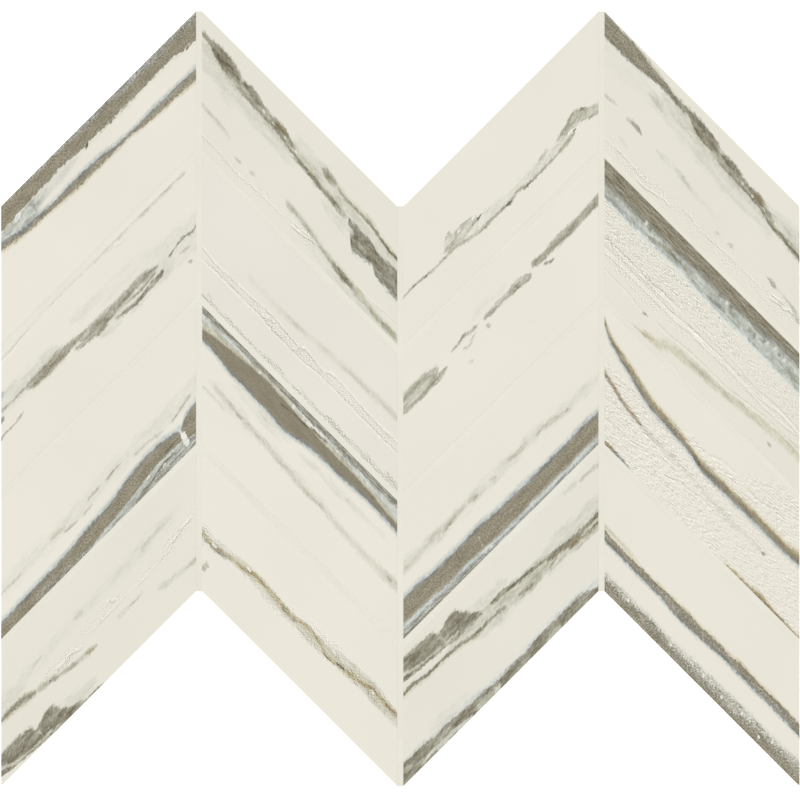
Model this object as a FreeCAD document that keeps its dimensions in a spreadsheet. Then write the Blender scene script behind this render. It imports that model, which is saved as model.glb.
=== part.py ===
import FreeCAD, Part
import os

import Sketcher

# A chevron mosaic sheet lying on its back: columns of slanted porcelain tiles, the grout that
# fills the joints between them, and the thin glass-fibre mesh that carries them from behind.
# Origin: middle of the back, under the middle of the sheet. +Z comes out of the face, +X runs
# across the columns and +Y runs up them. Every outline in the sheet is a parallelogram with two
# upright sides: a tile, a slanted joint, an upright joint with no slant, and a strip of mesh.

doc = FreeCAD.newDocument("chevron_mosaic_sheet")

# Driving sizes in millimetres, and the slant in degrees
SIZES = {
    "column_count": "4",
    "row_count": "4",
    "column_width": "72.7",
    "strip_width": "36.5",
    "slant": "45",
    "joint_width": "2.3",
    "tile_thickness": "9",
    "arris_radius": "0.2",
    "joint_recess": "0.15",
    "mesh_thickness": "0.5",
    "mesh_inset": "2",
}

# Sizes that follow from the driving ones. A side is an upright edge, so it is longer than the
# width that it belongs to, which is measured square to the slanted edges.
DERIVED = {
    "tile_side": "=strip_width / cos(slant)",
    "joint_side": "=joint_width / cos(slant)",
    "mesh_margin": "=mesh_inset / cos(slant)",
    "column_pitch": "=column_width + joint_width",
    "row_pitch": "=tile_side + joint_side",
    "column_side": "=row_count * row_pitch - joint_side",
    "rise": "=column_width * tan(slant)",
    "sheet_width": "=column_count * column_pitch - joint_width",
    "sheet_height": "=column_side + rise",
    "joint_depth": "=tile_thickness - joint_recess",
}


def make_sheet():
    """Spreadsheet with one named value in each row."""
    sheet = doc.addObject("Spreadsheet::Sheet", "Sizes")
    for row, (alias, text) in enumerate({**SIZES, **DERIVED}.items(), start=1):
        sheet.set(f"A{row}", alias.replace("_", " "))
        sheet.set(f"B{row}", text)
        sheet.setAlias(f"B{row}", alias)
    doc.recompute()
    return sheet


def make_body(label, x="0", y="0", z="0"):
    """Empty body whose place is given by three expressions."""
    body = doc.addObject("PartDesign::Body", label)
    body.Label = label
    for axis, place in zip("xyz", (x, y, z)):
        body.setExpression(f"Placement.Base.{axis}", place)
    return body


def parallelogram(body, name, width, side, climb, x="0", y="0"):
    """Sketch of a parallelogram with upright sides. Its lower left corner is at (x, y), and its
    right side stands higher than its left one by climb. Each value is an expression."""
    sketch = body.newObject("Sketcher::SketchObject", name)
    plane = next(item for item in body.Origin.OriginFeatures if item.Role == "XY_Plane")
    sketch.AttachmentSupport = (plane, [""])
    sketch.MapMode = "FlatFace"
    left, low, across, up, lift = (sheet.evalExpression(text) for text in (x, y, width, side, climb))
    corners = [
        FreeCAD.Vector(left, low, 0),
        FreeCAD.Vector(left + across, low + lift, 0),
        FreeCAD.Vector(left + across, low + lift + up, 0),
        FreeCAD.Vector(left, low + up, 0),
    ]
    bottom, right, top, left_side = range(len(corners))
    start, end = 1, 2
    origin = (-1, 1)
    for corner, following in zip(corners, corners[1:] + corners[:1]):
        sketch.addGeometry(Part.LineSegment(corner, following), False)
    for line, following in ((bottom, right), (right, top), (top, left_side), (left_side, bottom)):
        sketch.addConstraint(Sketcher.Constraint("Coincident", line, end, following, start))
    sketch.addConstraint(Sketcher.Constraint("Vertical", right))
    sketch.addConstraint(Sketcher.Constraint("Vertical", left_side))
    sketch.addConstraint(Sketcher.Constraint("Parallel", bottom, top))
    sizes = [
        ("corner_x", "DistanceX", (*origin, bottom, start), left, x),
        ("corner_y", "DistanceY", (*origin, bottom, start), low, y),
        ("width", "DistanceX", (bottom, start, bottom, end), across, width),
        ("climb", "DistanceY", (bottom, start, bottom, end), lift, climb),
        ("side", "DistanceY", (right, start, right, end), up, side),
    ]
    for size_name, kind, points, value, expression in sizes:
        index = sketch.addConstraint(Sketcher.Constraint(kind, *points, value))
        sketch.renameConstraint(index, size_name)
        sketch.setExpression(f"Constraints.{size_name}", expression)
    return sketch


def pad(body, sketch, depth):
    """Pad of a sketch upwards, joined to what the body already holds."""
    feature = body.newObject("PartDesign::Pad", f"{sketch.Name}_pad")
    feature.Profile = sketch
    feature.setExpression("Length", depth)
    doc.recompute()
    return feature


def rises(column):
    """True where a column climbs to the right. The columns climb and fall in turn."""
    return column % 2 == 0


def column_x(column):
    """Expression for the left edge of a column."""
    return f"{column} * Sizes.column_pitch - Sizes.sheet_width / 2"


def column_y(column):
    """Expression for the lowest point of a column's left edge."""
    low = "-Sizes.sheet_height / 2"
    return low if rises(column) else f"{low} + Sizes.rise"


def column_climb(column):
    """Expression for how much higher a column's right edge is than its left edge."""
    return "Sizes.rise" if rises(column) else "-Sizes.rise"


def make_tile(column, row):
    """One fired tile with a softened edge all round its face. Row 0 is the top one."""
    steps_up = rows - 1 - row
    body = make_body(
        f"tile_col{column + 1}_row{row + 1}",
        column_x(column),
        f"{column_y(column)} + {steps_up} * Sizes.row_pitch",
        "Sizes.mesh_thickness",
    )
    outline = parallelogram(
        body,
        f"{body.Name}_outline",
        "Sizes.column_width",
        "Sizes.tile_side",
        column_climb(column),
    )
    slab = pad(body, outline, "Sizes.tile_thickness")
    faces = slab.Shape.Faces
    face = max(range(len(faces)), key=lambda index: faces[index].CenterOfMass.z)
    arris = body.newObject("PartDesign::Fillet", f"{body.Name}_arris")
    arris.Base = (slab, [f"Face{face + 1}"])
    arris.setExpression("Radius", "Sizes.arris_radius")
    doc.recompute()
    return body


def slanted_joints(body, column):
    """The joints between the tiles of one column, padded once and repeated up the column."""
    outline = parallelogram(
        body,
        f"slanted_joint_{column + 1}",
        "Sizes.column_width",
        "Sizes.joint_side",
        column_climb(column),
        column_x(column),
        f"{column_y(column)} + Sizes.tile_side",
    )
    first = pad(body, outline, "Sizes.joint_depth")
    repeat = body.newObject("PartDesign::LinearPattern", f"slanted_joints_{column + 1}")
    repeat.Originals = [first]
    repeat.Direction = (outline, ["V_Axis"])
    repeat.setExpression("Length", "(Sizes.row_count - 2) * Sizes.row_pitch")
    repeat.setExpression("Occurrences", "Sizes.row_count - 1")
    body.Tip = repeat
    doc.recompute()


def upright_joint(body, column):
    """The joint between a column and the next one, ended square at the tiles' corners."""
    outline = parallelogram(
        body,
        f"upright_joint_{column + 1}",
        "Sizes.joint_width",
        "Sizes.column_side",
        "0",
        f"{column_x(column)} + Sizes.column_width",
        column_y(column + 1),
    )
    pad(body, outline, "Sizes.joint_depth")


def make_grout():
    """The joint filling, one web that stops a little below the tiles' faces. Each joint is added
    where it meets one that is already there."""
    body = make_body("joint_grout", z="Sizes.mesh_thickness")
    upright_joint(body, 0)
    for column in range(columns):
        slanted_joints(body, column)
        if 0 < column < columns - 1:
            upright_joint(body, column)
    return body


def mesh_strip(body, column):
    """The mesh behind one column. It reaches to the middle of the joints beside the column, and
    stops short of the sheet's own edges."""
    half_joint = "Sizes.joint_width / 2"
    left_reach = f"({half_joint})" if column > 0 else "(-Sizes.mesh_inset)"
    right_reach = f"({half_joint})" if column < columns - 1 else "(-Sizes.mesh_inset)"
    width = f"Sizes.column_width + {left_reach} + {right_reach}"
    slope = "tan(Sizes.slant)" if rises(column) else "-tan(Sizes.slant)"
    outline = parallelogram(
        body,
        f"mesh_strip_{column + 1}",
        width,
        "Sizes.column_side - 2 * Sizes.mesh_margin",
        f"({width}) * ({slope})",
        f"{column_x(column)} - {left_reach}",
        f"{column_y(column)} + Sizes.mesh_margin - {left_reach} * ({slope})",
    )
    pad(body, outline, "Sizes.mesh_thickness")


def make_mesh():
    """The mesh on the back, one flat piece with the sheet's zigzag outline."""
    body = make_body("mesh_backing")
    for column in range(columns):
        mesh_strip(body, column)
    return body


def check():
    """Stops before anything is written if a feature failed or a piece isn't one sound solid."""
    for item in doc.Objects:
        if {"Invalid", "Error"} & set(item.State):
            raise RuntimeError(f"{item.Label} failed: {item.State}")
    for body in bodies:
        shape = body.Shape
        if shape.isNull() or not shape.isValid() or len(shape.Solids) != 1:
            raise RuntimeError(f"{body.Label} is not one sound solid")


sheet = make_sheet()
columns = int(sheet.get("column_count"))
rows = int(sheet.get("row_count"))

bodies = [make_tile(column, row) for column in range(columns) for row in range(rows)]
bodies.append(make_grout())
bodies.append(make_mesh())

doc.recompute()
check()
os.makedirs("parts", exist_ok=True)
for body in bodies:
    body.Shape.exportStep(f"parts/{body.Label}.step")
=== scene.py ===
import math
from dataclasses import dataclass, replace

import bpy
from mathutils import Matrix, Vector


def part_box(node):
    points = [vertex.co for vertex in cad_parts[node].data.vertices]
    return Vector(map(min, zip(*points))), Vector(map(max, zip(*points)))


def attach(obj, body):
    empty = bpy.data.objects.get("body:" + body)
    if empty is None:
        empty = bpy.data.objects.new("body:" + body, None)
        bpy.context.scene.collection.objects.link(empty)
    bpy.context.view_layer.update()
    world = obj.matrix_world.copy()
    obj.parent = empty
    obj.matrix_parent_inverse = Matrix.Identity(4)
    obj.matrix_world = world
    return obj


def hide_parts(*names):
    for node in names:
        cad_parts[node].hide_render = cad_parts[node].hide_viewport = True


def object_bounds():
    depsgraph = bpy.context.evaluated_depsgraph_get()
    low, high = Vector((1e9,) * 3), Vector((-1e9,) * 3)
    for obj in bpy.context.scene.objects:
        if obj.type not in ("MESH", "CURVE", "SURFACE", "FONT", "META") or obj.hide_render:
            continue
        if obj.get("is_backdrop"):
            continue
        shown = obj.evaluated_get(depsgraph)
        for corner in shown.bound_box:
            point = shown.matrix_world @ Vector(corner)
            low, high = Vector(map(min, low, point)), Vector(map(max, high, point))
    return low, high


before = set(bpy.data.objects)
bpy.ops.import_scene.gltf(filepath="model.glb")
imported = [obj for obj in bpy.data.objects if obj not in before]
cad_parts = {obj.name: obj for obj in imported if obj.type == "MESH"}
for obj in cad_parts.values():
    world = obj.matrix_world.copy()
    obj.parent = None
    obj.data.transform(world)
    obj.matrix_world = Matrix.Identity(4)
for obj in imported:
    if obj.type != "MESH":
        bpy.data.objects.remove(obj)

# A chevron mosaic sheet lying face up: sixteen porcelain tiles printed with marble veining, the
# cream grout between them and the woven glass-fibre net on the back. Lengths are in metres, apart
# from the print's own measures, which are in millimetres.

CAD_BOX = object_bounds()
MM = 0.001
SLOPE = 1.0


def tile_name(column, row):
    return f"tile_col{column}_row{row}"


FIRST_LOW, FIRST_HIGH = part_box(tile_name(1, 1))
COLUMN_WIDTH = FIRST_HIGH.x - FIRST_LOW.x
RISE = COLUMN_WIDTH * SLOPE
TILE_SIDE = FIRST_HIGH.y - FIRST_LOW.y - RISE
FACE_HEIGHT = FIRST_HIGH.z
END = COLUMN_WIDTH / MM
SIDE = TILE_SIDE / MM

# Share of the studio light that the glaze reflects as it is, without taking on the print's colour
GLAZE_SHEEN = 0.045
# How strongly the relief is painted into the face's colour as light and shade, and how deep it is as a bump
RELIEF_PAINTED_SHADE = 0.07
RELIEF_DEPTH = 0.012 * MM
# Painted light on the rounded edge of the face: how much lighter it is made there, against the shade that
# its tilt gets
ARRIS_PAINTED_LIGHT = 1.06
# Depths below the face between which that edge gets its painted light, and between which the glaze ends on
# the sides
ARRIS_BAND = (0.02 * MM, 0.002 * MM)
GLAZE_BAND = (0.5 * MM, 0.3 * MM)
# Roughness of the glaze, from one end of its mottling to the other, and how much rougher the body is
GLAZE_ROUGHNESS = (0.36, 0.46)
BODY_ROUGHER = 0.35
# Ranges of a noise over which tones change
NOISE_RANGE = (0.3, 0.7)
NARROW_RANGE = (0.35, 0.65)


def linear(level):
    """Linear value of a display level between 0 and 255."""
    share = level / 255
    return share / 12.92 if share <= 0.04045 else ((share + 0.055) / 1.055) ** 2.4


def paint(red, green, blue):
    """Colour of a surface that should come out at these display levels under the studio light."""
    return (*((linear(level) - GLAZE_SHEEN) / (1 - GLAZE_SHEEN) for level in (red, green, blue)), 1.0)


def tones(levels, noise_range=NOISE_RANGE):
    """Stops of a colour ramp, at even steps over a range of noise from the dark to the light end."""
    start, end = noise_range
    step = (end - start) / (len(levels) - 1)
    return [(start + step * index, paint(*level)) for index, level in enumerate(levels)]


def shades(source, *levels):
    """An ink: the noise that it follows, and its tones."""
    return source, tones(levels)


# Inks of the print. Each follows the mottling, the sandy grain or the streaks.
INKS = {
    "slab": shades("sand", (129, 122, 103), (149, 142, 123), (169, 162, 144)),
    "loam": shades("sand", (135, 128, 109), (143, 136, 117), (151, 144, 126)),
    "taupe": shades("sand", (124, 118, 100), (148, 142, 124), (174, 169, 152)),
    "moss": shades("mottle", (112, 107, 89), (141, 136, 118), (170, 166, 149)),
    "umber": shades("sand", (136, 124, 99), (157, 146, 121), (177, 167, 143)),
    "rust": shades("mottle", (108, 97, 70), (128, 118, 92), (150, 140, 114)),
    "dark": shades("mottle", (92, 87, 72), (114, 108, 92), (138, 132, 115)),
    "slate": shades("mottle", (114, 117, 115), (138, 140, 137), (162, 165, 162)),
    "cloud": shades("mottle", (136, 131, 113), (163, 158, 141), (192, 189, 173)),
    "grey": shades("thread", (108, 105, 92), (150, 147, 134), (190, 188, 178)),
    "gravel": shades("sand", (120, 117, 105), (157, 156, 147), (204, 206, 200)),
    "speckled": shades("sand", (118, 115, 103), (158, 155, 141), (188, 186, 172), (236, 236, 229)),
    "crystal": shades("thread", (112, 110, 99), (154, 154, 144), (182, 183, 175), (218, 221, 215)),
    "flow": shades("thread", (116, 109, 91), (143, 137, 119), (170, 165, 148)),
    "ice": shades("mottle", (158, 160, 147), (186, 189, 178), (212, 215, 207)),
    "green": shades("mottle", (158, 157, 136), (187, 186, 168), (210, 209, 194)),
    "haze": shades("mottle", (208, 207, 194), (217, 216, 203), (225, 223, 211)),
    "ochre": shades("mottle", (150, 134, 97), (178, 166, 131), (206, 197, 168)),
    "olive": shades("mottle", (196, 191, 166), (207, 203, 180), (218, 214, 196)),
    "tan": shades("mottle", (180, 176, 157), (200, 196, 179), (217, 213, 198)),
    "blue": shades("mottle", (152, 164, 164), (179, 191, 190), (204, 213, 211)),
    "frost": shades("mottle", (204, 209, 206), (218, 222, 217), (231, 233, 228)),
    "white": shades("mottle", (231, 229, 219), (241, 239, 230)),
    "amber": shades("mottle", (190, 173, 137), (208, 195, 164), (224, 213, 187)),
}
# Cream grounds of the print, each between two tones
GROUNDS = {
    "cream": (paint(236, 232, 220), paint(233, 229, 217)),
    "sage": (paint(232, 229, 216), paint(230, 227, 214)),
    "blush": (paint(233, 229, 218), paint(231, 226, 215)),
}
# The fired body under the glaze, its cream darkened as painted shade on the sides and the back
BODY_WITH_PAINTED_SHADE = tones([(186, 179, 165), (199, 192, 178), (209, 203, 190)], NARROW_RANGE)


class Graph:
    """A material's nodes, with short calls for the kinds used here. Each call returns a socket."""

    def __init__(self, name):
        self.material = bpy.data.materials.new(name)
        self.material.use_nodes = True
        self.tree = self.material.node_tree
        self.tree.nodes.clear()

    def node(self, kind, *inputs, **settings):
        node = self.tree.nodes.new("ShaderNode" + kind)
        for key, value in settings.items():
            setattr(node, key, value)
        for index, value in enumerate(inputs):
            self.feed(node.inputs[index], value)
        return node

    def feed(self, socket, value):
        if isinstance(value, bpy.types.NodeSocket):
            self.tree.links.new(value, socket)
        else:
            socket.default_value = value

    def math(self, operation, *inputs):
        return self.node("Math", *inputs, operation=operation).outputs[0]

    def total(self, base, *terms):
        """A value plus others, each times its share."""
        for value, share in terms:
            base = self.math("MULTIPLY_ADD", value, share, base)
        return base

    def product(self, *values):
        result = values[0]
        for value in values[1:]:
            result = self.math("MULTIPLY", result, value)
        return result

    def step(self, value, start, end, low=0.0, high=1.0):
        """Smooth step from low at start to high at end."""
        limits = (start, end, low, high)
        return self.node("MapRange", value, *limits, interpolation_type="SMOOTHSTEP").outputs[0]

    def between(self, share, first, second):
        """Value that goes from the first to the second with the share."""
        return self.math("MULTIPLY_ADD", share, self.math("SUBTRACT", second, first), first)

    def mix(self, share, first, second):
        """Colour that goes from the first to the second with the share. The node has its sockets for
        colours after those for values and vectors."""
        node = self.node("Mix", data_type="RGBA")
        for index, value in ((0, share), (6, first), (7, second)):
            self.feed(node.inputs[index], value)
        return node.outputs[2]

    def noise(self, vector, scale, detail=2.0, roughness=0.5, dimensions="3D"):
        node = self.node("TexNoise", noise_dimensions=dimensions)
        values = {"Vector": vector, "Scale": scale, "Detail": detail, "Roughness": roughness}
        for name, value in values.items():
            self.feed(node.inputs[name], value)
        return node.outputs[0]

    def noises(self, vector, scale, detail, roughness):
        """Three flat noises of one kind that don't depend on each other, each about zero."""
        node = self.noise(vector, scale, detail, roughness, "2D").node
        channels = self.node("SeparateColor", node.outputs["Color"]).outputs
        return [self.math("SUBTRACT", channel, 0.5) for channel in channels]

    def scaled(self, vector, *factors):
        return self.node("VectorMath", vector, factors, operation="MULTIPLY").outputs[0]

    def place(self):
        """Place of a point in metres, and again in millimetres."""
        metres = self.node("TexCoord").outputs["Object"]
        return metres, self.scaled(metres, 1 / MM, 1 / MM, 1 / MM)

    def on_face(self, height):
        """1 at the face and just below it, and 0 on the rest of the sides and on the back."""
        return self.step(height, *(FACE_HEIGHT - depth for depth in GLAZE_BAND))

    def ramp(self, value, stops):
        node = self.node("ValToRGB", value)
        elements = node.color_ramp.elements
        while len(elements) < len(stops):
            elements.new(1.0)
        for element, (place, colour) in zip(elements, stops):
            element.position = place
            element.color = colour
        return node.outputs[0]

    def curves(self, value, *lines):
        """Up to three curves of one value, each a list of points. Returns a socket for each."""
        node = self.node("RGBCurve")
        node.mapping.use_clip = False
        node.mapping.extend = "HORIZONTAL"
        for curve, points in zip(node.mapping.curves, lines):
            curve.points[0].location = points[0]
            curve.points[1].location = points[-1]
            for point in points[1:-1]:
                curve.points.new(*point)
            for point in curve.points:
                point.handle_type = "AUTO_CLAMPED"
        node.mapping.update()
        self.feed(node.inputs["Color"], value)
        return self.node("SeparateColor", node.outputs[0]).outputs[:len(lines)]

    def finish(self, colour, roughness, height, relief, **constants):
        """Principled shader with a bump of the given relief in metres, and other sockets by name."""
        shader = self.node("BsdfPrincipled")
        self.feed(shader.inputs["Base Color"], colour)
        self.feed(shader.inputs["Roughness"], roughness)
        bump = self.node("Bump")
        bump.inputs["Strength"].default_value = 1.0
        bump.inputs["Distance"].default_value = relief
        self.feed(bump.inputs["Height"], height)
        self.feed(shader.inputs["Normal"], bump.outputs[0])
        for name, value in constants.items():
            shader.inputs[name.replace("_", " ")].default_value = value
        output = self.node("OutputMaterial")
        self.feed(output.inputs["Surface"], shader.outputs[0])
        return self.material


@dataclass
class Vein:
    """A printed vein. Each point is a distance across the column, the vein's upper and lower edge
    there, both down from the tile's upper edge, and its strength where that isn't 1. A border is an
    ink, how far it reaches and its share."""
    ink: str
    points: list
    soft: float = 1.0
    wander: float = 0.5
    grit: float = 0.7
    broken: float = 0.0
    worn: float = 0.15
    hollow: float = 0.0
    above: tuple = None
    below: tuple = None
    lip: tuple = None
    sill: tuple = None
    taper: float = 1.5


def stroke(ink, points, width=1.0, **looks):
    """A narrow vein, given by its middle line. A point may end with its strength."""
    half = width / 2
    return Vein(ink, [(s, t - half, t + half, *rest) for s, t, *rest in points], **looks)


def strokes(ink, width, *paths, **looks):
    """Narrow veins of one kind."""
    return [stroke(ink, points, width, **looks) for points in paths]


def blot(ink, s, t, across=1.2, down=1.0, strength=1.0, **looks):
    """A spot that is widest in its middle."""
    reach = across / 4
    points = [(place, t - down / 2, t + down / 2, strength) for place in (s - reach, s + reach)]
    return Vein(ink, points, **{"soft": 0.5, "wander": 0.25, "grit": 0.4, "taper": reach, **looks})


def blots(ink, *spots, **looks):
    """Spots of one kind."""
    return [blot(ink, *spot, **looks) for spot in spots]


def mist(points, ink="haze", **looks):
    """A wide pale patch with no clear edge."""
    return Vein(ink, points, **{"soft": 3.5, "wander": 2.0, "grit": 0.5, "taper": 5.0, "worn": 0.5, **looks})


@dataclass
class Score:
    """A fine line pressed into the face as a bump, with painted light on the flank above and painted shade
    on the one below, or the other way round where its depth is negative."""
    points: list
    depth: float = 1.0
    broken: float = 0.5
    taper: float = 2.0


@dataclass
class Grain:
    """A stretch of the face with a chiselled relief, a bump that is also painted into the colour as light
    and shade. Its points are as in a vein. Its marks are round, or streaks along the slant, and may lean
    away from it."""
    points: list
    depth: float = 1.0
    lean: float = None
    soft: float = 2.5
    taper: float = 4.0


# Noises of the print, each by its scale for a millimetre, its detail and its roughness
CLOUDS = (0.35, 2.0, 0.5)
SPECKS = (0.95, 2.0, 0.65)
GRIT = (1.5, 2.0, 0.75)
STREAKS = (1.0, 3.0, 0.6)
THREADS = (1.7, 2.0, 0.6)
FIRED_GRAIN = (1.6, 2.0, 0.7)
GROUND_SCALE = 0.02
# Scale of the clouds, the streaks and the leaning marks along the slant. Below 1 they are drawn out.
CLOUD_ALONG = 0.5
STREAK_ALONG = 0.13
MARK_ALONG = 0.4
# Step of the noises from one column or row to the next, so that no two tiles have the same ones
COLUMN_SHIFT, ROW_SHIFT = 3.1, 4.7
# An edge's shift for one unit of noise, in parts of its wander or grit
EDGE_SHIFT = 3
# Noise levels where worn ink comes back, and where a broken vein does
WEAR_RANGE = (-0.16, 0.1)
GAP_RANGE = (0.42, 0.54)
# Parts of its taper, outside a feature's end, where the end starts to fade and where it is gone
FADE_START, FADE_END = 0.7, 1.5
# Distances from an edge in millimetres: where a halo is full, how softly it ends at the far edge, and
# where a vein grows hollow
HALO_FULL = 0.3
HALO_END = 0.5
HOLLOW_RANGE = (0.3, 1.2)
# A pressed line's wander, grit and reach to each side, and its painted light and shade from the upper to the
# lower flank
SCORE_WANDER, SCORE_GRIT = 0.4, 0.45
SCORE_REACH = 1.1
SCORE_PROFILE = [(0.06, 0.5), (0.28, 0.85), (0.45, 0.6), (0.64, 0.0), (0.94, 0.5)]
# A stretch of grain's wander and grit, the steps in millimetres over which its slope is read, how strong
# the slope is, and how it changes with the clouds
GRAIN_WANDER, GRAIN_GRIT = 2.0, 0.5
ROUND_STEP = 0.2
LEANING_STEP = (0.1, 0.3, 0.0)
CHISEL_GAIN = 8
CHISEL_CLOUDS = (-0.15, 0.15, 0.65, 1.35)
# Share of the mottling in the relief of the glaze
MOTTLE_RELIEF = 0.1


class TilePrint:
    """The printed face of one tile, painted feature by feature over its ground."""

    def __init__(self, column, row, ground):
        self.graph = graph = Graph(f"porcelain_col{column}_row{row}")
        low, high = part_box(tile_name(column, row))
        slope = SLOPE if column % 2 else -SLOPE
        left_top = high.y - RISE if slope > 0 else high.y
        place, self.place_mm = graph.place()
        x, y, self.height = graph.node("SeparateXYZ", place).outputs
        self.s = graph.math("MULTIPLY_ADD", x, 1 / COLUMN_WIDTH, -low.x / COLUMN_WIDTH)
        edge = graph.math("MULTIPLY_ADD", x, slope / TILE_SIDE, (left_top - slope * low.x) / TILE_SIDE)
        self.t = graph.math("MULTIPLY_ADD", y, -1 / TILE_SIDE, edge)
        self.downhill = (ROUND_STEP * slope, -ROUND_STEP, 0.0)
        shifted_s = graph.math("ADD", self.s, column * COLUMN_SHIFT)
        shifted_t = graph.math("ADD", self.t, row * ROW_SHIFT)
        shifted = graph.node("CombineXYZ", shifted_s, shifted_t, 0.0).outputs[0]
        self.flow = graph.scaled(shifted, END, SIDE, 1.0)
        along = graph.scaled(self.flow, CLOUD_ALONG, 1.0, 1.0)
        streaks = graph.scaled(self.flow, STREAK_ALONG, 1.0, 1.0)
        self.coarse, self.veil, patch = graph.noises(along, *CLOUDS)
        self.fine, speckle, self.crumb = graph.noises(self.flow, *SPECKS)
        grit = graph.math("SUBTRACT", graph.noise(self.place_mm, *GRIT, "2D"), 0.5)
        self.sand = graph.total(0.5, (patch, 0.4), (grit, 1.2))
        self.mottle = graph.total(0.5, (patch, 0.7), (speckle, 0.6))
        self.streak = graph.noise(streaks, *STREAKS, "2D")
        self.thread = graph.total(graph.noise(streaks, *THREADS, "2D"), (grit, 0.5))
        drift = graph.total(graph.noise(self.place_mm, GROUND_SCALE), (grit, 0.6))
        self.colour = graph.mix(graph.step(drift, *NOISE_RANGE), *GROUNDS[ground])
        self.relief = None
        self.made = {}

    def kept(self, key, make):
        """A socket that several features share, made at its first use."""
        if key not in self.made:
            self.made[key] = make()
        return self.made[key]

    def ink(self, name):
        source, stops = INKS[name]
        return self.kept(("ink", name), lambda: self.graph.ramp(getattr(self, source), stops))

    def wandering(self, reach, grit):
        """Distance down the tile, shifted as much as an edge wanders, and roughened by its grit."""
        shifts = (self.coarse, EDGE_SHIFT * reach / SIDE), (self.fine, EDGE_SHIFT * grit / SIDE)
        return self.kept(("wander", reach, grit), lambda: self.graph.total(self.t, *shifts))

    def wear(self, share):
        """Factor that thins the ink by up to this share in cloudy patches."""
        graph = self.graph

        def make():
            cloud = graph.total(self.veil, (self.crumb, 0.8))
            return graph.step(cloud, *WEAR_RANGE, 1 - share, 1.0)

        return self.kept(("wear", share), make)

    def gaps(self, share):
        """Factor that leaves out this share where the streaks are weak."""
        limits = (*GAP_RANGE, 1 - share, 1.0)
        return self.kept(("gaps", share), lambda: self.graph.step(self.streak, *limits))

    def edges(self, points, wander, grit, soft, taper):
        """Signed distances inside the upper and the lower edge, and the strength along the feature.
        An end that lies inside the tile narrows to a tip."""
        graph = self.graph
        outline = [(s, top, bottom) for s, top, bottom, *rest in points]
        strengths = [(s, rest[0] if rest else 1.0) for s, top, bottom, *rest in points]
        for end, outwards in ((0, -1), (-1, 1)):
            s, top, bottom = outline[end]
            if 0 < s < END:
                middle = (top + bottom) / 2
                tip = (s + outwards * taper, middle + soft, middle - soft)
                full, gone = (s + outwards * taper * part for part in (FADE_START, FADE_END))
                fade = [(full, strengths[end][1]), (gone, 0.0)]
                if end == 0:
                    outline.insert(0, tip)
                    strengths[:0] = reversed(fade)
                else:
                    outline.append(tip)
                    strengths += fade
        tops = [(s / END, top / SIDE) for s, top, bottom in outline]
        bottoms = [(s / END, bottom / SIDE) for s, top, bottom in outline]
        shares = [(s / END, share) for s, share in strengths]
        top, bottom, strength = graph.curves(self.s, tops, bottoms, shares)
        t = self.wandering(wander, grit)
        return graph.math("SUBTRACT", t, top), graph.math("SUBTRACT", bottom, t), strength

    def cover(self, ink, mask):
        self.colour = self.graph.mix(mask, self.colour, self.ink(ink))

    def halo(self, border, near, far, strength):
        """A paler or warmer border outside one edge of a vein."""
        ink, reach, share = border
        graph = self.graph
        inside = graph.step(near, -reach / SIDE, HALO_FULL / SIDE, 0.0, share)
        outside = graph.step(far, -HALO_END / SIDE, HALO_END / SIDE)
        self.cover(ink, graph.product(inside, outside, strength))

    def tint(self, border, near, mask):
        """Another ink just inside one edge of a vein."""
        ink, reach, share = border
        inside = self.graph.step(near, 0.0, reach / SIDE, share, 0.0)
        self.cover(ink, self.graph.product(inside, mask))

    def vein(self, vein):
        graph = self.graph
        edges = self.edges(vein.points, vein.wander, vein.grit, vein.soft, vein.taper)
        below_top, above_bottom, strength = edges
        if vein.broken:
            strength = graph.product(strength, self.gaps(vein.broken))
        if vein.above:
            self.halo(vein.above, below_top, above_bottom, strength)
        if vein.below:
            self.halo(vein.below, above_bottom, below_top, strength)
        depth = graph.math("MINIMUM", below_top, above_bottom)
        soft = vein.soft / SIDE / 2
        factors = [graph.step(depth, -soft, soft), strength]
        if vein.worn:
            factors.append(self.wear(vein.worn))
        if vein.hollow:
            start, end = (distance / SIDE for distance in HOLLOW_RANGE)
            factors.append(graph.step(depth, start, end, 1.0, 1 - vein.hollow))
        mask = graph.product(*factors)
        self.cover(vein.ink, mask)
        if vein.lip:
            self.tint(vein.lip, below_top, mask)
        if vein.sill:
            self.tint(vein.sill, above_bottom, mask)

    # Adds to the relief, which becomes both the bump and painted light and shade in the colour.
    def emboss(self, *factors):
        value = self.graph.product(*factors)
        self.relief = value if self.relief is None else self.graph.math("ADD", self.relief, value)

    def score(self, score):
        graph = self.graph
        points = [(s, t, t, *rest) for s, t, *rest in score.points]
        below, above, strength = self.edges(points, SCORE_WANDER, SCORE_GRIT, 0.0, score.taper)
        side = below if score.depth > 0 else above
        flank = graph.node("MapRange", side, -SCORE_REACH / SIDE, SCORE_REACH / SIDE).outputs[0]
        profile = graph.ramp(flank, [(place, (level, level, level, 1.0)) for place, level in SCORE_PROFILE])
        factors = [graph.math("SUBTRACT", profile, 0.5), strength, 2 * abs(score.depth)]
        if score.broken:
            factors.append(self.gaps(score.broken))
        self.emboss(*factors)

    def chisel(self, lean):
        """Slope of the chiselled relief, lit from above."""
        graph = self.graph

        def make():
            marks = self.place_mm
            step = self.downhill
            if lean is not None:
                step = LEANING_STEP
                s, t, _ = graph.node("SeparateXYZ", self.flow).outputs
                leaning = graph.math("MULTIPLY_ADD", s, lean, t)
                squeezed = graph.math("MULTIPLY", s, MARK_ALONG)
                marks = graph.node("CombineXYZ", squeezed, leaning, 0.0).outputs[0]
            lit_marks = graph.node("VectorMath", marks, step, operation="ADD").outputs[0]
            lit, shaded = (graph.noise(place, *GRIT, "2D") for place in (lit_marks, marks))
            slope = graph.math("SUBTRACT", lit, shaded)
            return graph.product(slope, graph.step(self.veil, *CHISEL_CLOUDS))

        return self.kept(("chisel", lean), make)

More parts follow.
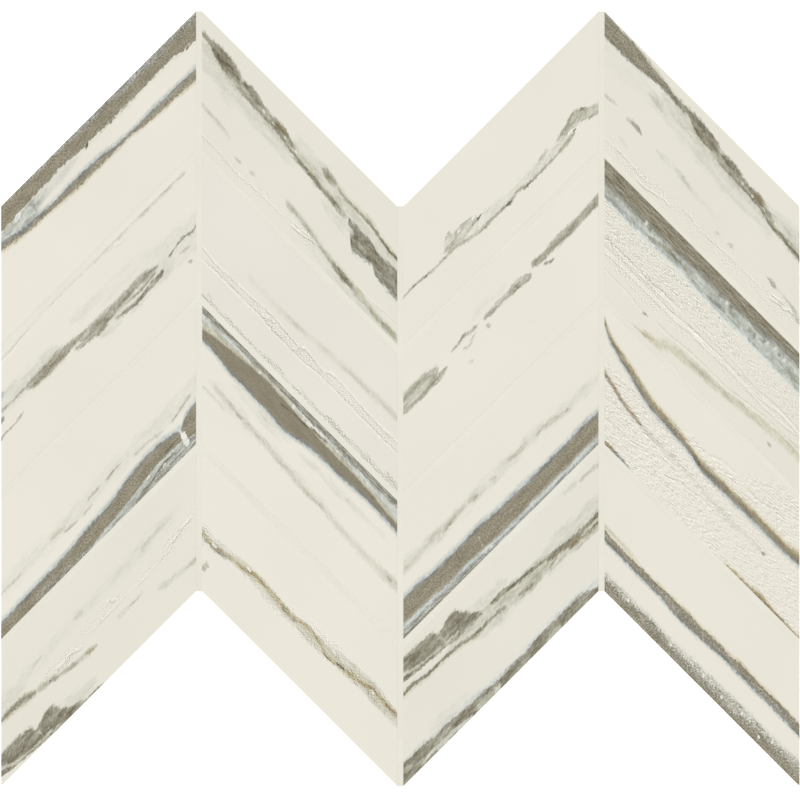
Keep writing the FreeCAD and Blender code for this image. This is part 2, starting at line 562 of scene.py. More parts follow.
    def grain(self, grain):
        graph = self.graph
        edges = self.edges(grain.points, GRAIN_WANDER, GRAIN_GRIT, grain.soft, grain.taper)
        below_top, above_bottom, strength = edges
        soft = grain.soft / SIDE / 2
        area = graph.step(graph.math("MINIMUM", below_top, above_bottom), -soft, soft)
        self.emboss(self.chisel(grain.lean), area, strength, CHISEL_GAIN * grain.depth)

    def finish(self, features):
        """The material: the print on the face, and the fired body, darkened with painted shade, on the sides
        and the back.
        """
        graph = self.graph
        painters = {Vein: self.vein, Score: self.score, Grain: self.grain}
        for feature in features:
            painters[type(feature)](feature)
        colour = self.colour
        height = graph.math("MULTIPLY", self.mottle, MOTTLE_RELIEF)
        # The relief is painted into the colour as light and shade, and is also the bump's height.
        if self.relief is not None:
            shares = (RELIEF_PAINTED_SHADE,) * 3
            relief_shaded = graph.node("VectorMath", self.relief, shares, colour, operation="MULTIPLY_ADD")
            colour = relief_shaded.outputs[0]
            height = graph.math("ADD", height, self.relief)
        # Painted light on the rounded edge of the face, against the shade of its tilt.
        start, end = (FACE_HEIGHT - depth for depth in ARRIS_BAND)
        lit = graph.node("VectorMath", colour, operation="SCALE")
        graph.feed(lit.inputs["Scale"], graph.step(self.height, start, end, ARRIS_PAINTED_LIGHT, 1.0))
        face = graph.on_face(self.height)
        fired = graph.noise(self.place_mm, *FIRED_GRAIN)
        colour = graph.mix(face, graph.ramp(fired, BODY_WITH_PAINTED_SHADE), lit.outputs[0])
        height = graph.between(face, fired, height)
        sheen = graph.step(self.mottle, *NOISE_RANGE, *GLAZE_ROUGHNESS)
        roughness = graph.total(sheen, (graph.math("SUBTRACT", 1.0, face), BODY_ROUGHER))
        return graph.finish(colour, roughness, height, RELIEF_DEPTH)


def moved(veins, across, down):
    """The same veins, shifted across the column and down the tile, without those that leave it."""
    places = []
    for vein in veins:
        points = [(s + across, top + down, bottom + down, *rest) for s, top, bottom, *rest in vein.points]
        if points[-1][0] > 0 and points[0][0] < END:
            places.append(replace(vein, points=points))
    return places


# Two runs of veining come back on another tile, at another place along the slant.
# The crest is a torn double wave with a thin strand under it.
CREST = [
    Vein("moss", [(0, 4, 9), (4, 4, 11.5), (8, 4.6, 13), (11, 5.4, 13.6), (13.2, 8, 14), (14.4, 7.4, 14),
        (16.5, 5.2, 14.2), (18.5, 5, 14.4), (21, 7.6, 14.8), (24, 10.8, 15.6), (27, 13.8, 16.6),
        (29, 15.6, 17)], soft=1.4, wander=0.6, grit=0.9, above=("haze", 2.0, 0.7)),
    Vein("moss", [(0, 10.2, 12.8), (4, 12.2, 13.8), (10, 13.7, 14.9), (16, 14.6, 15.8), (20, 15, 16.6),
        (26, 15.6, 17, 0.6)], worn=0.3),
    stroke("tan", [(0, 9.4), (4, 12), (10, 13.4), (14, 14)], 0.8, grit=0.5),
    stroke("tan", [(13, 9.4, 0.7), (15, 11.4, 0.7), (15.6, 13, 0.7)], 0.7, grit=0.5),
]
# The braid is a string of knots with a strand twisted along it.
BRAID = [
    mist([(-5, 15, 20, 0.6), (8, 16, 23), (20, 17, 24), (32, 18, 24, 0.7)], worn=0.2),
    mist([(36, 12, 21, 0.8), (44, 11, 22), (52, 13, 22, 0.8)]),
    Vein("green", [(-5, 9, 14, 0.5), (8, 11, 16.5, 0.6), (20, 12, 18, 0.6), (34, 15, 20.5, 0.6),
        (50, 18, 23, 0.5)], soft=3, wander=1.0, grit=1.2, worn=0.4, taper=4),
    Vein("cloud", [(11.6, 13.2, 15, 0.5), (14, 12.6, 15.8, 0.8), (20, 13.8, 16.4, 0.7),
        (25, 13.8, 16.6, 0.7), (28, 15, 17.8, 0.7), (34, 15.4, 19, 0.7)], soft=1.8, wander=0.7, grit=1.1),
    Vein("moss", [(-2, 6.8, 9.2), (3, 6.8, 10.2), (5, 6.6, 12.6), (8, 6.4, 13.8), (11, 7, 13.8),
        (14, 8.6, 13.6, 0.8), (16, 10, 13, 0.3)], soft=1.8, wander=0.7, grit=1.0, worn=0.0),
    blot("dark", 7.6, 10.8, 5, 2.6, 0.4, soft=1.6, grit=1.0),
    Vein("moss", [(15.6, 10.6, 13), (18, 9.8, 14), (20, 10, 14.4), (22.5, 11.4, 13.8)], soft=1.8,
        grit=1.0),
    Vein("cloud", [(22, 12, 14), (25, 12.4, 14.6)], soft=1.6, grit=1.0),
    Vein("moss", [(26, 12.8, 15), (29, 12.4, 16.4), (31, 13, 16.2), (33, 15, 17.4)], soft=1.6, grit=1.0),
    Vein("umber", [(27.4, 13.2, 15.4), (31, 12.8, 15)], soft=1.4, taper=1.2),
    blot("rust", 29, 14.7, 4.4, 2.2, 0.9, soft=1.2, grit=0.8),
    stroke("moss", [(9, 13.6, 0.6), (14, 14.4, 0.2), (22, 15.2, 0.2), (26, 16, 0.7), (30, 17.2),
        (34, 18.4)], 1.0, grit=0.9),
    stroke("moss", [(14, 15.2, 0.6), (20, 15.9), (24, 16.2), (28, 17), (34, 18.6)], 1.5, grit=0.9,
        broken=0.15, below=("haze", 1.6, 0.7)),
    Vein("moss", [(32, 18, 19.4), (38, 19, 21), (42, 19.5, 22.2), (46, 20.3, 23), (51, 21.7, 23.5)],
        soft=1.4, wander=0.7, above=("olive", 2.0, 0.7), below=("haze", 1.6, 0.8)),
    *[blot("white", s, t, 1.3, 0.9, 0.7) for s, t in ((23, 14.3), (26.6, 15.5), (31, 16.2), (35, 17.3))],
]

# The print of each tile, by column and row: its ground, and its features in the order of painting.
# All their measures are in millimetres.
PRINTS = {}
PRINTS[1, 1] = "cream", [
    Vein("ice", [(0, 9, 14.5), (5, 9, 16), (9, 9, 17), (13, 9, 16.5, 0.9), (17, 9, 14, 0.5),
        (26, 9, 12.5, 0.4)], soft=3.0, taper=6, worn=0.3, wander=1.2),
    Vein("slab", [(0, -3, 9.9), (5, -3, 9.6), (10, -3, 8.8), (20, -3, 8.1), (30, -3, 8.6), (40, -3, 9),
        (50, -3, 9), (60, -3, 8.6), (66, -3, 9.2), (END, -3, 10.4)], wander=0.7, grit=1.0, worn=0.0,
        below=("haze", 2.4, 0.6)),
    Vein("gravel", [(0, -3, 0.2, 0.8), (10, -3, 1), (20, -3, 1.8), (40, -3, 2.2), (54, -3, 3),
        (END, -3, 2.4)], soft=2.6, grit=1.2),
    *blots("moss", (32, 9.4, 1.2, 2.2), (41, 9.4, 1.2, 1.6), (69.5, 10.4, 1.2, 1.4)),
    stroke("slate", [(10.8, 10.2, 0.7), (12.4, 12.4, 0.7), (13, 14.6, 0.5)], 1.2, soft=1.4),
    blot("white", 6.2, 10, 2.8, 2.4),
    blot("frost", 6.2, 10.1, 1.4, 1.2),
    Vein("taupe", [(0, 13.8, 17), (5, 15.4, 18.2), (8, 17, 18.9), (12, 17.2, 20), (20, 18.3, 20.4),
        (25, 17.8, 21.5), (36, 18.3, 22), (43, 20.2, 21.9), (48, 20.9, 21.8), (52, 20.7, 23),
        (60, 20.8, 24.2), (66, 21, 24.6), (END, 21.4, 25.6)], wander=0.4, above=("blue", 2.6, 0.9),
        below=("amber", 2.0, 0.8), lip=("slate", 1.8, 1.0)),
]
PRINTS[1, 2] = "cream", [
    stroke("tan", [(0, 2.5, 0.4), (5, 1.9, 0.5), (9, 1, 0.4)], 1.0, soft=1.2),
    stroke("tan", [(10, 0.5, 0.3), (20, 0.2, 0.5), (29, 0.2, 0.5), (36, 0.6, 0.7), (44, 0.8, 0.7)], 0.9,
        soft=1.2),
    stroke("tan", [(44, 0.8), (68, 0.9)], 1.2, soft=1.2, broken=0.7),
    Score([(0, 3.2), (4, 3), (8, 2)], -1.6, broken=0.3),
    Score([(41.5, 1.5), (43.5, 3)], 1.2, broken=0.0),
    mist([(0, 15, 21), (8, 16, 22), (18, 16, 22)], soft=3),
    mist([(28, 13, 16, 0.5), (36, 14, 18, 0.5)], soft=2.5),
    mist([(38, 14, 20, 0.3), (52, 15, 22, 0.3), (62, 18, 33, 0.6), (END, 20, 34, 0.6)], soft=3),
    mist([(40, 26, 33, 0.8), (54, 26, 33), (62, 27, 33, 0.6)], soft=2, worn=0.2),
    blot("blue", 0.4, 15.8, 1.6, 2.0),
    stroke("cloud", [(0, 21.8, 0.8), (6, 22, 0.8), (12, 22)], 1.2, broken=0.2, below=("haze", 2.6, 0.9)),
    Vein("cloud", [(10, 21.4, 23.2), (13, 21, 24.6), (17, 20.4, 25), (20, 19.8, 25.2), (24, 21.4, 25.2),
        (28, 22, 24.6), (32, 22.7, 27.3), (38, 23.2, 28.8), (44, 23.3, 27.6), (51, 23, 26.6),
        (55, 24, 27.2), (58, 25.4, 26.8)], soft=1.6, wander=0.6, worn=0.35, lip=("moss", 1.6, 0.5),
        above=("haze", 2.0, 0.8)),
    Vein("taupe", [(13, 22.4, 25), (20, 22, 25.3), (23, 22.8, 25.4)], soft=2.4, worn=0.2, taper=3,
        below=("olive", 2.0, 0.6)),
    stroke("cloud", [(28, 26.2), (33, 28), (39, 29)], 1.2, broken=0.5),
    Vein("moss", [(43, 29.4, 30.6, 0.7), (46, 30, 31.8), (50, 30.2, 32.2), (56, 29.6, 32),
        (60, 29, 31.4)], worn=0.3, taper=1.2),
    stroke("cloud", [(47, 28), (53, 28.3), (57, 27.6)], 0.9, broken=0.4),
    blot("cloud", 0.3, 25.2, 2.4, 2),
    Vein("cloud", [(0, 30.9, 33.2), (2, 31, 32.2), (5, 30.8, 31.6), (8, 29.8, 30.6, 0.7)]),
    stroke("moss", [(63, 26.2), (65, 25.6), (67, 24.8), (69, 25.2), (71, 26), (END, 25)], 0.9),
    stroke("tan", [(67, 29.4), (70, 30.4)], 1.0),
    stroke("tan", [(70, 35.6), (71, 36.8)], 0.9),
]
PRINTS[1, 3] = "cream", [
    mist([(0, 30, 37, 0.4), (22, 30, 36, 0.7), (45, 27, 34, 0.6), (END, 26, 34, 0.7)], soft=5),
    stroke("tan", [(0, 35), (7, 35)], 0.9, broken=0.4, soft=1.0),
    stroke("tan", [(19, 32.8), (23, 33.4)], 1.4, soft=1.4),
    stroke("cloud", [(24, 35.5, 0.7), (28, 35.9, 0.6)], 0.8, grit=0.4),
    stroke("cloud", [(31, 35.9, 0.5), (33.5, 35.7, 0.5)], 0.8),
    *strokes("cloud", 0.8, [(33, 32.2, 0.6), (36.5, 31.6, 0.6)], [(39.5, 31.4, 0.7), (42, 30.8, 0.9),
        (44, 31, 0.7)], grit=0.4),
    stroke("cloud", [(50, 33, 0.5), (53, 32.8, 0.6), (60, 34.3, 0.5)], 0.8, broken=0.3),
    stroke("cloud", [(64, 34, 0.7), (67, 32.6, 0.7), (70, 31.4, 0.7)], 0.9, broken=0.3),
    Vein("crystal", [(30, 51, 56), (44, 48.4, 56), (54, 45.2, 56), (66, 45, 56), (END, 45, 56)]),
    Vein("taupe", [(50, 50, 56, 0.5), (58, 48.6, 56, 0.5), (66, 50, 56, 0.3)], soft=2.4, grit=1.2,
        worn=0.5),
    Vein("slab", [(0, 45.9, 58), (15, 44.9, 58), (25, 44.3, 55), (30, 43, 52.6), (36, 42.4, 50.6),
        (41, 41.6, 49.3), (45, 40, 48.3), (50, 38.5, 47.1), (55, 37.8, 45.8), (60, 38.2, 44.9),
        (64, 39.4, 45.2), (67, 41, 45.4)], wander=0.3, grit=0.7, worn=0.0, taper=0.8,
        above=("blue", 3.0, 0.9), below=("frost", 1.8, 0.8), lip=("slate", 1.8, 1.0)),
    Vein("slab", [(67.5, 40, 45), (69, 37.4, 46), (71, 36.3, 47), (END, 35.9, 48)], grit=0.5, worn=0.0,
        taper=0.8, above=("blue", 3.0, 0.9), lip=("slate", 1.8, 1.0)),
    Vein("gravel", [(14, 48.6, 56, 0.4), (22, 48.8, 56, 0.4), (28, 50, 56, 0.5), (34, 50.2, 56, 0.9)],
        soft=1.6, grit=1.0),
    Vein("ice", [(42, 48.8, 50.6, 0.5), (48, 48, 51, 0.7), (54, 46.2, 48.8, 0.7), (58, 45.4, 46.6, 0.5)],
        soft=1.4),
    stroke("dark", [(51, 50.8, 0.7), (55, 49.6, 0.7), (60, 47.3), (64, 46.9, 0.7)], 1.0, broken=0.4),
    stroke("dark", [(62, 43.2), (66, 43)], 0.8, broken=0.3),
    *blots("white", (55, 46.3, 1.4, 1.2), (61, 47.6, 1.4, 1.0)),
    stroke("frost", [(65.6, 38.6), (66.8, 41), (68, 43.6)], 1.6, soft=1.2),
    Vein("white", [(67.6, 42, 45), (68.6, 43.4, 48), (69.8, 46.6, 49.4)], taper=0.8),
]
PRINTS[1, 4] = "sage", [
    mist([(0, 19, 26), (6, 18.6, 25), (13, 17, 21.4, 0.6), (30, 15, 19, 0.5), (56, 12.5, 18, 0.7),
        (64, 12, 16, 0.5)], soft=3.5),
    stroke("green", [(12, 18.8, 0.4), (15, 18.4, 0.4)], 1.2, soft=1.6),
    stroke("green", [(27.5, 16.2, 0.5), (30, 17, 0.5)], 1.4, soft=1.6),
    stroke("green", [(53, 15.8, 0.4), (57, 14.6, 0.4), (63, 14, 0.3)], 2.2, soft=2),
    Grain([(18, 26, 31), (26, 26.5, 31, 1.6), (32, 24, 29, 0.7), (40, 23, 28), (50, 25, 28, 0.7),
        (60, 23, 28), (68, 21, 25.5, 1.4), (71, 20.5, 24)], 1.1, soft=2),
    Score([(22, 29.2), (24, 28.8), (25.6, 28.2)], 3.2, broken=0.2, taper=0.8),
    Score([(24, 30), (26.6, 28.8), (29, 29.8)], 3.0, broken=0.2, taper=0.8),
    Score([(33, 27.8), (45, 27.4), (54, 27.8), (60, 26.5)], 1.6, broken=0.7),
    Score([(40.4, 22.8), (41.6, 24.4)], 2.4, broken=0.0, taper=0.8),
    Score([(64, 24.4), (66.4, 23.6), (67.4, 22.8), (70, 22.4)], 3.2, broken=0.2, taper=0.8),
    Vein("taupe", [(0, 26.2, 28), (4, 26, 28.4), (8, 26.4, 29.2), (11, 27.4, 30), (12.4, 28.4, 30)],
        soft=1.6, above=("tan", 1.6, 0.6), below=("olive", 2.2, 0.8)),
    Vein("green", [(14, 28.4, 30.4), (20, 30, 32), (27, 32.4, 34.2, 0.8), (34, 33.8, 35.6, 0.7)],
        soft=2.2, broken=0.2),
    *strokes("cloud", 1.2, [(18.6, 30.6), (21, 31.8)], [(25, 32.8, 0.7), (28, 33.8, 0.7)], soft=1.4),
    stroke("ochre", [(32, 34, 0.6), (35.4, 35, 0.6)], 1.2, soft=1.4),
    stroke("green", [(44, 32.2, 0.7), (48, 32.4, 0.7), (52.5, 32.2, 0.7)], 1.4, soft=1.4, broken=0.7),
    stroke("haze", [(59, 36.6), (63, 38.4)], 1.8, soft=1.6),
    Vein("green", [(64, 37, 39.2, 0.4), (69, 38.2, 40, 0.6), (END, 38.8, 41, 0.8)], soft=2),
    mist([(24, 43.6, 48), (33, 45.5, 50)], soft=2.5, worn=0.2),
    *moved(CREST, 0, 35.5),
    Vein("moss", [(22, 46, 49), (27, 48.6, 52), (32, 51, 53)], soft=1.6, worn=0.2),
    stroke("moss", [(32, 51.4), (38, 51.8)], 1.2, broken=0.3),
]
PRINTS[2, 1] = "sage", [
    *BRAID,
    Vein("green", [(50, 16, 22, 0.3), (58, 17, 24, 0.5), (END, 20, 26, 0.5)], soft=3, wander=1.0,
        worn=0.4),
    Vein("cloud", [(45.5, 13, 15.6, 0.8), (47.5, 12.2, 16.8), (49.5, 13, 16, 0.8)], soft=1.6, grit=0.9),
    blot("ochre", 47, 15.4, 2.4, 1.6, 0.4),
    blot("green", 51.6, 22.8, 5, 3, 0.7, soft=1.6, grit=1.0),
    stroke("cloud", [(51, 15.9), (55, 16.7), (61, 16.4), (64, 17)], 1.6, above=("olive", 2.4, 0.8)),
    stroke("moss", [(62, 16.4), (65, 17.7), (68, 19), (71, 19.8), (END, 20)], 1.5,
        above=("olive", 2.4, 0.8)),
    Vein("moss", [(55, 22.4, 27), (56, 22.4, 33.6), (58, 22.6, 33.2), (60, 22.8, 32.6), (62, 22.4, 31.2),
        (63.2, 23, 30.8), (64.5, 24, 34), (68, 24.8, 34.6), (END, 24.2, 35.2)], soft=1.4, wander=0.9,
        grit=1.0, worn=0.2, taper=0.8, below=("blue", 1.6, 0.6)),
    blot("cloud", 59.6, 28, 4, 3, 0.7, soft=2, grit=1.2),
    blot("dark", 57, 24.6, 2.4, 4, 0.6, soft=1.6, grit=1.0),
    blot("dark", 68, 28, 4, 4, 0.5, soft=2, grit=1.2),
    mist([(47, 25, 29, 0.8), (53, 24, 29)], soft=2, worn=0.2),
    mist([(42, 46, 50, 0.4), (52, 47, 52), (62, 48, 52), (END, 49, 54)], soft=2, worn=0.2),
    Vein("green", [(0, 34, 36, 0.6), (3, 34.4, 36.2, 0.6), (10, 36, 37.6, 0.3)], soft=2),
    Vein("green", [(32, 38.8, 41.2, 0.9), (35, 39.4, 41.5), (41, 41, 43.2, 0.9), (45, 42.8, 45.2),
        (49, 44, 46.4, 0.9)], soft=1.8, above=("haze", 2.0, 0.8), below=("haze", 2.0, 0.7)),
    blot("cloud", 34.4, 40.4, 3, 1.6, 0.6, soft=1.4),
    Vein("moss", [(49, 44.7, 47, 0.8), (52, 44.9, 48), (55, 45.4, 48.2), (60, 46.6, 48.6)], soft=1.8,
        grit=1.0, above=("olive", 2.0, 0.8)),
    Vein("green", [(57, 46, 48.6, 0.9), (62, 47.2, 49.4, 0.9), (66, 47.8, 51), (70, 48, 51.2),
        (END, 48.8, 51.4, 0.9)], soft=1.8, above=("olive", 2.0, 0.6)),
    blot("moss", 68.2, 49.4, 3.6, 2, 0.8, soft=1.6),
    *strokes("tan", 1.1, [(12.8, 42.2, 0.7), (14, 41.8, 0.7)], [(18.2, 42, 0.7), (19.5, 41.4, 0.7)],
        soft=1.0),
    Grain([(0, 45, 49, 0.6), (12, 45.5, 49, 0.7), (30, 44, 48, 0.6), (41, 43, 47, 1.4)], 1.3, soft=1.5),
    Score([(2, 46.4), (6, 46), (12, 47.6), (20, 46.6), (28, 46.4)], 1.6),
    Score([(34.5, 46.6), (37, 46), (41, 44.8)], 3.4, broken=0.0, taper=0.8),
    Score([(34.6, 44.8), (38, 44.8), (40, 43.8)], 2.4, broken=0.2, taper=0.8),
    Score([(60, 45), (END, 43.5)], 1.2),
]
PRINTS[2, 2] = "blush", [
    Vein("green", [(18, 25.5, 28, 0.15), (28, 26.5, 28.4, 0.3), (36, 26, 28, 0.5), (43, 24.8, 27, 0.4),
        (46, 24.6, 26.6, 0.4), (56, 23.5, 26, 0.5), (END, 22.6, 25.4, 0.55)], soft=3),
    Score([(0, 33), (5, 34), (18, 33.4), (26, 32.4), (36, 34), (39, 32.8), (45, 34), (49, 32), (56, 32.4),
        (61, 33.4), (END, 33.2)], 2.8, broken=0.4),
    Score([(0, 37.3), (20, 37.2), (28, 38), (36, 38.4), (44, 36.9), (54, 37), (END, 37.4)], -2.8,
        broken=0.4),
    Score([(23, 36), (26, 34.4)], 2.0, broken=0.0, taper=0.8),
    Score([(34.6, 36.6), (36, 34.6)], 2.0, broken=0.0, taper=0.8),
    Grain([(0, 33.4, 37.4, 0.5), (20, 33.4, 37.6), (28, 33.4, 38, 1.4), (38, 33.6, 37.6, 1.4),
        (48, 33, 37.2, 0.9), (END, 33.4, 37.2)], 1.4, soft=0.8),
    mist([(0, 49.8, 54, 0.9), (40, 49.8, 54, 0.9), (END, 48.4, 54, 0.9)], soft=1.6, worn=0.2),
    Grain([(0, 50, 53), (15, 49.8, 53), (40, 50, 53), (60, 49, 53), (END, 48, 53)], 2.4, soft=1.2),
]
PRINTS[2, 3] = "cream", [
    Vein("ice", [(0, 1, 6), (15, 1, 6.4), (28, 1, 5), (40, 1, 6.4), (END, 1, 9)], soft=1.2, grit=1.0),
    Vein("frost", [(0, 3, 5, 0.8), (10, 2.6, 4, 0.5), (26, 3, 4, 0.4), (48, 3.4, 4.6, 0.4),
        (END, 4, 7, 0.8)], soft=1.4, broken=0.5),
    Vein("green", [(0, 5, 9, 0.8), (6, 4.8, 8.6), (14, 4.2, 7), (22, 3.4, 5.4)], soft=1.6),
    Vein("green", [(28, 3, 6, 0.7), (36, 4.6, 7), (50, 5, 8.4), (62, 5.8, 9), (END, 8, 10, 0.7)],
        soft=1.8),
    Vein("grey", [(0, -2, 2.6), (12, -2, 2), (30, -2, 2.6), (END, -2, 3)], wander=0.4, grit=0.9),
    Vein("loam", [(0, 8.6, 12.6), (5, 7.2, 13), (10, 6, 14.4), (15, 5.2, 14.6), (25, 3.8, 15.2),
        (30, 4.4, 15.9), (33, 4.8, 15.2), (37, 5.4, 13.6), (42, 6, 12.5), (52, 6.3, 12.1), (62, 7, 11),
        (68, 8.1, 11.1), (END, 8.9, 12)], wander=0.3, grit=0.5, worn=0.0, soft=1.2,
        above=("amber", 2.2, 0.6), below=("blue", 2.6, 0.9), sill=("slate", 1.8, 0.9)),
    *[stroke("white", [(s, t + 0.8, 0.8), (s + 0.8, t, 0.8)], 0.7, taper=0.5, soft=0.8)
      for s, t in ((21, 3.2), (33.6, 3.4), (37.4, 3.8), (50, 3.8), (61, 4.6))],
    stroke("dark", [(29.5, 7.6), (33, 6.4), (37, 6.2), (40, 5.4), (43, 4.6), (46, 4.4)], 0.8, grit=0.4),
    stroke("white", [(39, 5), (42, 3.8), (45, 3.6)], 0.9, broken=0.3),
    blot("dark", 63.5, 8.2, 1.6, 0.8),
    mist([(14, 17, 20, 0.5), (24, 17, 22, 0.7), (30, 17, 20, 0.5)], soft=2),
    mist([(38, 17.5, 20, 0.6), (55, 17, 20, 0.7), (66, 17.4, 19.6, 0.5)], soft=2),
    *blots("tan", (23.4, 19.2, 2.0, 1.2, 0.5), (54.2, 18.3, 2.0, 1.2, 0.5)),
    mist([(5, 23.6, 27.4, 0.6), (24, 25.6, 30, 0.8), (46, 28, 31.5, 0.5)], soft=3),
    Vein("tan", [(5, 24.6, 27, 0.5), (14, 26, 28.6, 0.7), (24, 27.4, 30, 0.6), (34, 29, 31.4, 0.8),
        (44, 29.8, 31.8, 0.8), (52, 30, 33.4, 0.5), (60, 30.4, 34.4, 0.5), (END, 30, 34.6, 0.7)],
        soft=2.4, grit=1.2),
    blot("green", 13.6, 27.6, 2.8, 1.6, soft=1.0),
    blot("tan", 20.5, 28.2, 2.0, 1.4),
    *blots("green", (44.4, 30.7, 2.4, 1.6), (69.8, 32.2, 2.2, 1.6), soft=1.0),
    stroke("haze", [(0, 30), (8, 30.4)], 1.4, soft=1.2),
]
PRINTS[2, 4] = "cream", [
    mist([(0, 27, 32.5), (8, 26.5, 32), (14, 26.5, 30, 0.7)], soft=2, grit=1.0),
    Vein("green", [(18, 27.4, 29.4, 0.5), (28, 27.4, 30.6, 0.6), (36, 26.5, 31, 0.6), (45, 26, 30.4, 0.6),
        (52, 23, 29, 0.6), (60, 22, 29, 0.8), (64, 22, 30, 0.8), (END, 24, 29.4, 0.8)], soft=2.4,
        grit=1.0, worn=0.4),
    Vein("olive", [(10, 27.5, 30), (22, 24.4, 28), (34, 25.8, 29), (44, 25, 29), (50, 27, 30),
        (62, 23.4, 27), (END, 23.8, 27)], soft=1.6),
    stroke("ochre", [(0, 29.7), (4, 30.2), (10, 28.7), (16, 27.5), (20, 26), (24, 26.2), (30, 26.9),
        (33, 27.6), (37, 25.9), (40, 25.3), (43, 26.6), (46, 28.8), (48, 29.4), (52, 28.2), (58, 26.9),
        (62, 25.2), (66, 24.8), (70, 25.4), (END, 25.4)], 1.6, soft=1.4, wander=0.4),
    stroke("cloud", [(0, 31.6), (5, 31.2), (10, 29.4)], 1.0, broken=0.3),
    stroke("cloud", [(30, 27.6), (33, 29), (35, 28)], 0.9, broken=0.3),
    stroke("dark", [(45.6, 29.8), (47.6, 29.8)], 0.9, soft=0.6, grit=0.3),
    stroke("dark", [(50.6, 28.5), (52.5, 28)], 1.1, soft=0.6, grit=0.3),
    stroke("umber", [(62.4, 24.6), (64, 24.2)], 0.8, grit=0.4),
    *blots("white", (5, 26.5, 2.0, 1.6), (4.5, 30, 2.4, 1.0), (17.4, 26.1, 1.8, 1.2),
        (35.4, 31, 2.0, 1.0), (49.4, 25.2, 2.0, 1.2), (63.6, 25.6, 1.6, 1.2)),
    Grain([(0, 26, 33), (14, 25, 31, 0.6), (30, 25, 32), (46, 22, 31, 1.2), (60, 21, 29), (END, 22, 29)],
        1.4, soft=2),
    stroke("green", [(0.4, 42.6), (1.8, 40.2)], 2.0, soft=1.4),
]
PRINTS[3, 1] = "cream", [
    mist([(28, 33.5, 37.5, 0.8), (40, 33, 37.5), (52, 33.5, 38), (60, 32, 37)], soft=2.5, grit=1.0),
    stroke("green", [(0, 34.1), (4, 33.7), (8, 34.4), (11, 34.8), (16, 34.7), (19, 34.9)], 1.1,
        wander=0.3),
    *blots("dark", (4.2, 33.7, 1.6, 0.9, 0.7), (8.4, 34.4, 1.4, 0.9, 0.7)),
    Vein("green", [(15.8, 27, 33.2), (17, 26.6, 33.6), (18.4, 28.6, 34.2), (20, 28.4, 34.8),
        (23, 28.8, 34.4), (26, 29.4, 33.4), (27, 30.6, 32.6)], wander=0.7, hollow=0.25, worn=0.5,
        taper=0.8),
    Vein("cloud", [(15.8, 31, 33.4, 0.5), (18, 31.6, 34.4, 0.6), (22, 33.4, 35.6, 0.5)], soft=1.2,
        worn=0.6),
    *blots("white", (20.6, 29.8, 1.6, 1.4), (26, 30.4, 1.6, 1.2)),
    stroke("dark", [(27.6, 32.6), (28.8, 32.4)], 0.8),
    blot("white", 29.2, 34.6, 2.6, 3.4, 0.6),
    stroke("green", [(19, 34.6), (23, 36), (27, 37.4), (31, 38.4)], 1.4),
    Vein("green", [(28, 36.8, 38.4), (34, 37, 38.6), (40, 37.2, 38.8), (43, 36.4, 37.8), (47, 37.6, 39),
        (54, 37.6, 39), (60, 36.6, 38.6), (63, 35.6, 37.8)], wander=0.3),
    stroke("cloud", [(29, 38.2), (39, 38.3), (43, 37.2), (47, 38.6), (58, 38.2)], 0.7, broken=0.5),
    *strokes("dark", 0.9, [(38.6, 38.2), (40.2, 38.8)], [(45.4, 38.6), (47.8, 38.8)]),
    Vein("green", [(57.6, 31.6, 33), (60, 30.4, 34), (62, 28.6, 34.2), (64, 28.4, 34.4), (66.4, 30, 34.6),
        (68, 31.2, 34)], soft=1.4, wander=0.6, worn=0.1),
    stroke("cloud", [(58, 32, 0.5), (61, 30, 0.5), (63, 28.6, 0.5)], 0.8, broken=0.4),
    stroke("dark", [(65.8, 29.8), (67.4, 31)], 0.8),
    blot("dark", 63.8, 35.4, 1.4, 0.8),
    blot("white", 62, 34.6, 2.2, 1.2),
    Vein("green", [(66.6, 31.6, 34), (69, 32.5, 36.5), (END, 34, 38)], worn=0.4),
    stroke("tan", [(51, 33.4), (53.4, 32.8)], 1.0),
    Grain([(16, 28, 34.6), (28, 31, 36.4), (42, 36, 39, 0.7), (57, 31, 38), (67, 29, 36)], 0.8, soft=2),
]
PRINTS[3, 2] = "cream", [
    mist([(28, 11, 14, 0.4), (36, 11.5, 14, 0.4)], soft=2.5),
    Vein("green", [(0, 15.2, 21, 0.8), (3, 15.3, 21, 0.8), (7, 15, 21, 0.8), (9.6, 16.4, 21),
        (12, 17, 21)], above=("haze", 2, 0.8)),
    Vein("moss", [(0, 15.8, 18.4, 0.4), (5, 16, 17.8, 0.3), (8, 17.4, 19.2, 0.3), (11, 18.4, 19.8, 0.5)],
        soft=1.2),
    Vein("cloud", [(0, 21, 22.8, 0.8), (4, 21.4, 23.4, 0.8), (8, 21.2, 23.8, 0.8), (12, 20.9, 23.8),
        (15.6, 20.8, 22.6)], soft=1.4, below=("olive", 1.4, 0.5)),
    stroke("cloud", [(18.5, 17.3), (21, 17), (23, 16.1), (25, 17), (27, 17.2)], 1.0),
    stroke("cloud", [(20.8, 16.6), (22.6, 15.7)], 0.8),
    stroke("tan", [(22.8, 20.8), (24, 21.6), (25.4, 21.4)], 1.1),
    stroke("tan", [(25.4, 20), (26.6, 19.4)], 0.9),
    Vein("cloud", [(30.5, 16, 18, 0.8), (34, 15.7, 18.4, 0.8), (38, 15.9, 18.2, 0.8), (41, 15, 18.6),
        (45, 15.6, 19), (47, 17.4, 19.4)], worn=0.4),
    Vein("cloud", [(48.2, 13.8, 16), (52, 14.8, 17.3), (56, 14, 17.4), (60, 13.7, 18), (64, 14.2, 18),
        (68, 13.8, 17.6), (END, 13.2, 17.6)], soft=1.8, taper=0.8, worn=0.3, above=("green", 1.4, 0.6)),
    stroke("tan", [(31.2, 20.8), (32.2, 22)], 1.2),
    stroke("cloud", [(53, 19.4), (54.4, 20.4), (55.6, 20.8)], 1.4),
    stroke("haze", [(25, 28), (26, 28.6)], 1.0),
]
